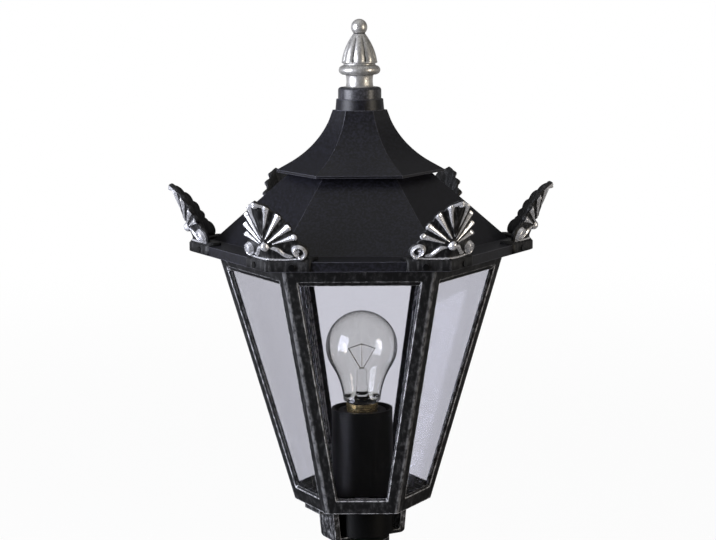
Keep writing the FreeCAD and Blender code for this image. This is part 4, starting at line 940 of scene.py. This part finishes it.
# ---------------- finial
@dataclass
class Finial:
    """Turned neck and ring, lobed cone and ball, one casting screwed on the rod."""

    foot: float
    bore_radius: float = 4.05
    bore_depth: float = 15.0
    neck_radius: float = 10.8
    neck_height: float = 10.1
    neck_bulge: float = 1.1  # how far the neck swells at half its height
    ring_radius: float = 17.1
    ring_height: float = 7.6
    ring_round: float = 4.2
    groove: float = 13.1
    groove_height: float = 1.7
    cone_radius: float = 14.7
    cone_height: float = 24.4
    cone_top: float = 4.6
    cone_belly: float = 8.0
    lobes: int = 8
    lobe_depth: float = 0.13  # share of the radius
    lobe_shape: float = 0.8  # below 1 the valleys are wider
    ball_radius: float = 6.7
    ball_sunk: float = 1.8
    around: int = 385
    finish: DryBrushedCast = field(default_factory=lambda: DryBrushedCast(
        "finial, silver brushed over black cast", Proud.RELIEF, silver="#e6e4e0", cover=0.95, flats=0.3,
        streak_mm=(1.4, 1.4, 3.2), gloss=0.3, metal=0.85, breaks=0.55))

    def heights(self) -> tuple[float, float, float, float, float]:
        """Where its forms meet.

        Returns:
            Heights of the foot, the ring's foot and top, the cone's foot and the cone's top.
        """
        ring_foot = self.foot + self.neck_height
        ring_top = ring_foot + self.ring_height
        cone_foot = ring_top + self.groove_height
        return self.foot, ring_foot, ring_top, cone_foot, cone_foot + self.cone_height

    def profile(self) -> Array:
        """The half section, from the blind bore over neck, ring, groove and cone to the top of the ball.

        Returns:
            An array of (radius, height) points.
        """
        z0, z1, z2, z3, z4 = self.heights()
        neck, brim_high = self.neck_radius, 1.2
        bore = np.array([(0.0, z0 + self.bore_depth), (self.bore_radius, z0 + self.bore_depth),
                         (self.bore_radius, z0 + 0.02), (neck + 1.0, z0)])
        swell = arc_points((neck + self.neck_bulge, (z0 + z1) / 2), (self.neck_bulge, self.neck_height / 2),
                           270.0, 90.0, 26)
        ring = arc_points((self.ring_radius - self.ring_round, (z1 + z2) / 2),
                          (self.ring_round, self.ring_height / 2), -80.0, 75.0, 30)
        groove = np.array([(self.groove, z2 + 0.5), (self.groove - 0.2, z2 + 1.1), (self.groove, z3 - 0.3)])
        brim = arc_points((self.cone_radius - 1.4, z3 + 1.0), (1.5, 1.1), -90.0, 0.0, 10)
        share = np.linspace(0.0, 1.0, 64)
        cone_r = (self.cone_radius + (self.cone_top - self.cone_radius) * share
                  + self.cone_belly * share * (1.0 - share))
        cone = np.stack([cone_r, z3 + self.cone_height * share], axis=1)
        cone = cone[cone[:, 1] > z3 + brim_high]
        ball = arc_points((0.0, z4 + self.ball_radius - self.ball_sunk), (self.ball_radius,) * 2,
                          -48.0, 90.0, 40)
        ball[-1, 0] = 0.0
        return np.concatenate([bore, swell, ring, groove, brim, cone, ball])

    def build(self) -> None:
        """Surface of revolution r(z), whose cone is drawn in between lobes by |cos(lobes / 2 phi)|."""
        _, z1, z2, z3, z4 = self.heights()
        profile = self.profile()
        r, z = profile[:, 0], profile[:, 1]
        angle = np.linspace(0.0, 2.0 * np.pi, self.around)[:, None]
        lobed = smooth_step((z - z3) / 1.5) * smooth_step((z4 - z) / 5.0)
        drawn_in = 1.0 - np.abs(np.cos(angle * self.lobes / 2)) ** self.lobe_shape
        valley = self.lobe_depth * drawn_in * lobed[None, :]
        radius = r[None, :] * (1.0 - valley)
        height = np.broadcast_to(z, radius.shape)
        points = np.stack([radius * np.cos(angle), radius * np.sin(angle), height], axis=-1)
        recess = bump(z - z1, 1.1) + bump(z - z2 - 0.3, 0.6) + bump(z - z3, 0.6) + bump(z - z4, 1.3)
        relief = np.clip(1.0 - 0.9 * recess[None, :] - 8.0 * valley, 0.0, 1.0)
        piece = make_piece("finial_relief", [Surface(points, relief)], "finial")
        piece.data.materials.append(self.finish.material())
        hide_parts("finial")
        LOG.info("finial: %d faces", len(piece.data.polygons))


# ---------------- castings and fittings kept from the frame
PANES = ("pane_front", "pane_front_right", "pane_back_right", "pane_back", "pane_back_left",
         "pane_front_left")
PLATED = ("neck_stud", "neck_nut", "stirrup_screws", "clip_screws", "nipple", "nipple_nut", "rod_bridge",
          "bridge_screws", "centre_rod", "rod_nuts", "roof_spacer", "lock_screw_1", "lock_screw_2",
          "lock_screw_3")
FINISHES: dict[Finish, tuple[str, ...]] = {
    # The silver on the body's edges and corners is real dry-brushed paint, but its near-white, mostly matt
    # colour is a painted highlight that stands in for the glints along those edges.
    DryBrushedCast("body, silver brushed over black cast", Proud.EDGES, black="#08080a", silver="#fafafe",
                   cover=1.0, flats=0.075, edge_mm=1.5, corner_mm=2.6, metal=0.2,
                   streak_mm=(3.0, 3.0, 5.5)): ("body_frame",),
    DryBrushedCast("stirrup, silver brushed over black cast", Proud.EDGES, black="#121214", silver="#e0e0e4",
                   cover=0.95, flats=0.55, edge_mm=1.0, metal=0.3, streak_mm=(3.0, 3.0, 5.0)): ("stirrup",),
    DryBrushedCast("fitter, silver brushed over black cast", Proud.EDGES, black="#2b2b2d", silver="#c4c4c6",
                   cover=0.7, flats=0.16, edge_mm=1.0, metal=0.4,
                   streak_mm=(3.5, 3.5, 8.0)): ("post_fitter",),
    # The roof is black powder coat; the blue tint in its colour, mottle and edge colour is painted sheen,
    # standing in for the cool light that it mirrors from above.
    PowderCoat("roof, black powder coat on cast aluminium", "#08080d", roughness=0.44, shine=0.5,
               grain_mm=1.9, grain_depth_mm=0.4, edge_colour="#6e6e78",
               mottle="#1e1e28"): ("lower_roof", "upper_roof"),
    PowderCoat("lamp tube, satin black powder coat on steel", "#030304", roughness=0.4, shine=0.35,
               grain_mm=0.9, grain_depth_mm=0.01, edge_mm=0.4, edge_colour="#1c1c1e",
               mottle="#050506"): ("lamp_tube", "carrier_disc", "palmette_screws"),
    # The collar is black gloss paint; its grey colour and grey mottle are painted sheen, standing in for the
    # light that its gloss catches from the left soft box.
    PowderCoat("collar, black gloss paint, greyed as painted sheen", "#2a2a2e", roughness=0.34, shine=0.6, grain_mm=1.6,
               grain_depth_mm=0.1, edge_colour="#8a8a90", mottle="#4a4a50"): ("roof_collar",),
    WorkedMetal("zinc-plated steel", "#b4b6ba", 0.36): PLATED,
    WorkedMetal("spring steel", "#8a8c90", 0.4): ("pane_clips",),
    WorkedMetal("drawn brass", "#c8a558", 0.28): ("thread_sleeve", "centre_contact"),
    WorkedMetal("lamp cap, bright brass", "#e2c98c", 0.22, metal=0.8): ("bulb_cap",),
    WorkedMetal("tungsten and nickel wire", "#d2cec8", 0.35): ("filament",),
    ClearGlass("float glass", "#e9e9ef"): PANES,
    ClearGlass("blown lamp glass", "#fbfbf8", wave_mm=25.0, wave_depth_mm=0.03): ("bulb_envelope",),
    ClearGlass("lamp stem, thin glass tube", "#fafafa", wave_mm=8.0, wave_depth_mm=0.05,
               ior=1.12): ("bulb_stem",),
    Moulded("lampholder, black phenolic", "#131315", 0.5): ("lampholder",),
    Moulded("terminal block, white nylon", "#d8d8d2", 0.5): ("terminal_block",),
    Moulded("lamp insulator, black glass", "#19181c", 0.2): ("bulb_button",),
    Moulded("gasket, black rubber", "#161616", 0.8): ("roof_gasket",),
}


def dress_frame() -> None:
    """Gives every CAD node that shows its finish."""
    for finish, names in FINISHES.items():
        material = finish.material()
        for name in names:
            dress(name, material)
    LOG.info("castings and fittings: %d finishes", len(FINISHES))


# ---------------- studio
@dataclass(frozen=True)
class SoftBox:
    """One rectangular soft box aimed at the lantern's middle."""

    name: str
    place: Triple  # its centre in metres
    size: Pair  # width and height in metres
    watts: float
    colour: str
    aim_height: float = 0.34  # metres

    def build(self) -> None:
        """Sets the light up."""
        data = bpy.data.lights.new(self.name, "AREA")
        data.shape, data.size, data.size_y = "RECTANGLE", *self.size
        data.energy = self.watts
        data.color = linear(self.colour)[:3]
        lamp = add_object(self.name, data)
        lamp.location = self.place
        aim = Vector((0.0, 0.0, self.aim_height)) - Vector(self.place)
        lamp.rotation_euler = aim.to_track_quat("-Z", "Y").to_euler()


@dataclass
class Studio:
    """Pale floor, white surroundings, two tall soft boxes at the sides and the camera of the photograph."""

    eave: float
    distance: float = 1514.9  # camera to the lantern's axis
    height: float = 208.6  # camera above the eave
    turn: float = 0.014  # radians round the lantern, towards +X
    pitch: float = 0.1475
    roll: float = -0.008
    focal: float = 1837.0  # in pixels of a frame 716 wide
    aside: float = 3.1  # pixels from the frame's middle to the axis
    frame_width: float = 716.0
    sensor_width: float = 36.0
    clip_range: Pair = (0.05, 60.0)  # metres
    floor_reach: float = 30000.0  # half its width
    fill: float = 0.2  # what the surroundings give as light
    overhead: float = 0.45  # what metal and glass mirror straight from above
    mirrored_dim: float = 0.04  # what they mirror of the room in front
    mirrored_behind: float = 0.3  # and of the white behind the lantern
    soft_boxes: tuple[SoftBox, ...] = (
        SoftBox("left_soft_box", (-1.20, -0.60, 0.55), (0.9, 1.1), 28.0, "#f0f3ff"),
        SoftBox("right_soft_box", (1.25, -0.65, 0.55), (0.32, 0.75), 6.0, "#fff4e2"))

    def camera(self) -> None:
        """Camera at the photograph's viewpoint: turned round the axis, yawed, pitched down and rolled."""
        c, s = math.cos(self.turn), math.sin(self.turn)
        right, ahead, up = Vector((c, s, 0.0)), Vector((-s, c, 0.0)), Vector((0.0, 0.0, 1.0))
        place = -ahead * self.distance
        place.z = self.eave + self.height
        yaw = math.atan(self.aside / self.focal)
        ahead, right = (ahead * math.cos(yaw) - right * math.sin(yaw),
                        right * math.cos(yaw) + ahead * math.sin(yaw))
        ahead, up = (ahead * math.cos(self.pitch) - up * math.sin(self.pitch),
                     up * math.cos(self.pitch) + ahead * math.sin(self.pitch))
        c, s = math.cos(self.roll), math.sin(self.roll)
        right, up = right * c + up * s, up * c - right * s
        data = bpy.data.cameras.new("camera")
        data.sensor_width = self.sensor_width
        data.lens = self.focal * self.sensor_width / self.frame_width
        data.clip_start, data.clip_end = self.clip_range
        camera = add_object("camera", data)
        turn = Matrix((right, up, -ahead)).transposed().to_4x4()
        camera.matrix_world = Matrix.Translation(place * MM) @ turn
        bpy.context.scene.camera = camera

    def floor(self) -> None:
        """Wide pale floor: a square grid of white paper that turns to pure white away from the lantern.

        Near the lantern it takes its shadow; in front of it metal and glass mirror a dim room.
        """
        line = np.linspace(-self.floor_reach, self.floor_reach, 3)
        x, y = np.meshgrid(line, line, indexing="ij")
        points = np.stack([x, y, np.zeros_like(x)], axis=-1)
        mesh = bpy.data.meshes.new("floor")
        mesh.from_pydata((points.reshape(-1, 3) * MM).tolist(), [], grid_quads(3, 3)[:, ::-1].tolist())
        floor = add_object("floor", mesh)
        material, nodes = new_material("studio floor, matte white paper")
        paper = nodes.add("BsdfDiffuse", {"Color": linear("#f2f2f2")})
        seen, mirrored = nodes.ray_masks()
        place = nodes.place()
        far = nodes.length(place)
        along = nodes.add("SeparateXYZ", {0: place}).outputs["Y"]
        behind = nodes.blend(along, 0.2, 1.6, self.mirrored_dim, self.mirrored_behind)
        strength = nodes.maths("MAXIMUM", seen, behind)
        glow = nodes.add("Emission", {"Color": linear("#ffffff"), "Strength": strength})
        white_share = nodes.maths("MULTIPLY", seen, nodes.blend(far, 0.6, 2.5, 0.95, 1.0))
        share = nodes.maths("MAXIMUM", white_share, mirrored)
        both = nodes.add("MixShader", {0: share, 1: paper.outputs[0], 2: glow.outputs[0]})
        nodes.add("OutputMaterial", {0: both.outputs[0]})
        mesh.materials.append(material)

    def world(self) -> None:
        """White surroundings to the eye and in glass, a quiet grey for the light that they give."""
        world = bpy.data.worlds.new("studio")
        world.use_nodes = True
        world.node_tree.nodes.clear()
        nodes = Nodes(world.node_tree)
        seen, mirrored = nodes.ray_masks()
        direction = nodes.add("TexCoord").outputs["Generated"]
        _, along, up = nodes.add("SeparateXYZ", {0: direction}).outputs
        white_behind = nodes.blend(along, -0.1, 0.6, self.mirrored_dim, self.mirrored_behind)
        near_horizon = nodes.blend(up, 0.1, 0.45, 1.0, self.mirrored_dim)
        behind = nodes.maths("MULTIPLY", white_behind, near_horizon)
        overhead = nodes.blend(up, 0.35, 1.0, 0.0, self.overhead)
        scattered = nodes.maths("MULTIPLY", nodes.maths("SUBTRACT", 1.0, mirrored), self.fill)
        mirrored = nodes.maths("MULTIPLY", mirrored, nodes.maths("MAXIMUM", behind, overhead))
        strength = nodes.maths("MAXIMUM", nodes.maths("MAXIMUM", seen, mirrored), scattered)
        light = nodes.add("Background", {"Color": linear("#ffffff"), "Strength": strength})
        nodes.add("OutputWorld", {0: light.outputs[0]})
        bpy.context.scene.world = world

    def build(self) -> None:
        """Sets up camera, lights, floor and world."""
        self.camera()
        for soft_box in self.soft_boxes:
            soft_box.build()
        self.floor()
        self.world()
        bpy.context.scene.view_settings.view_transform = "Standard"
        LOG.info("studio ready")


def main() -> None:
    """Builds the studio and the lantern's pieces."""
    logging.basicConfig(level=logging.INFO, format="%(name)s: %(message)s")
    eave = node_box("lower_roof")[0][2]
    finial_foot = node_box("finial")[0][2]
    Studio(eave).build()
    dress_frame()
    Palmette(eave).build()
    Finial(finial_foot).build()


if __name__ == "__main__":
    main()
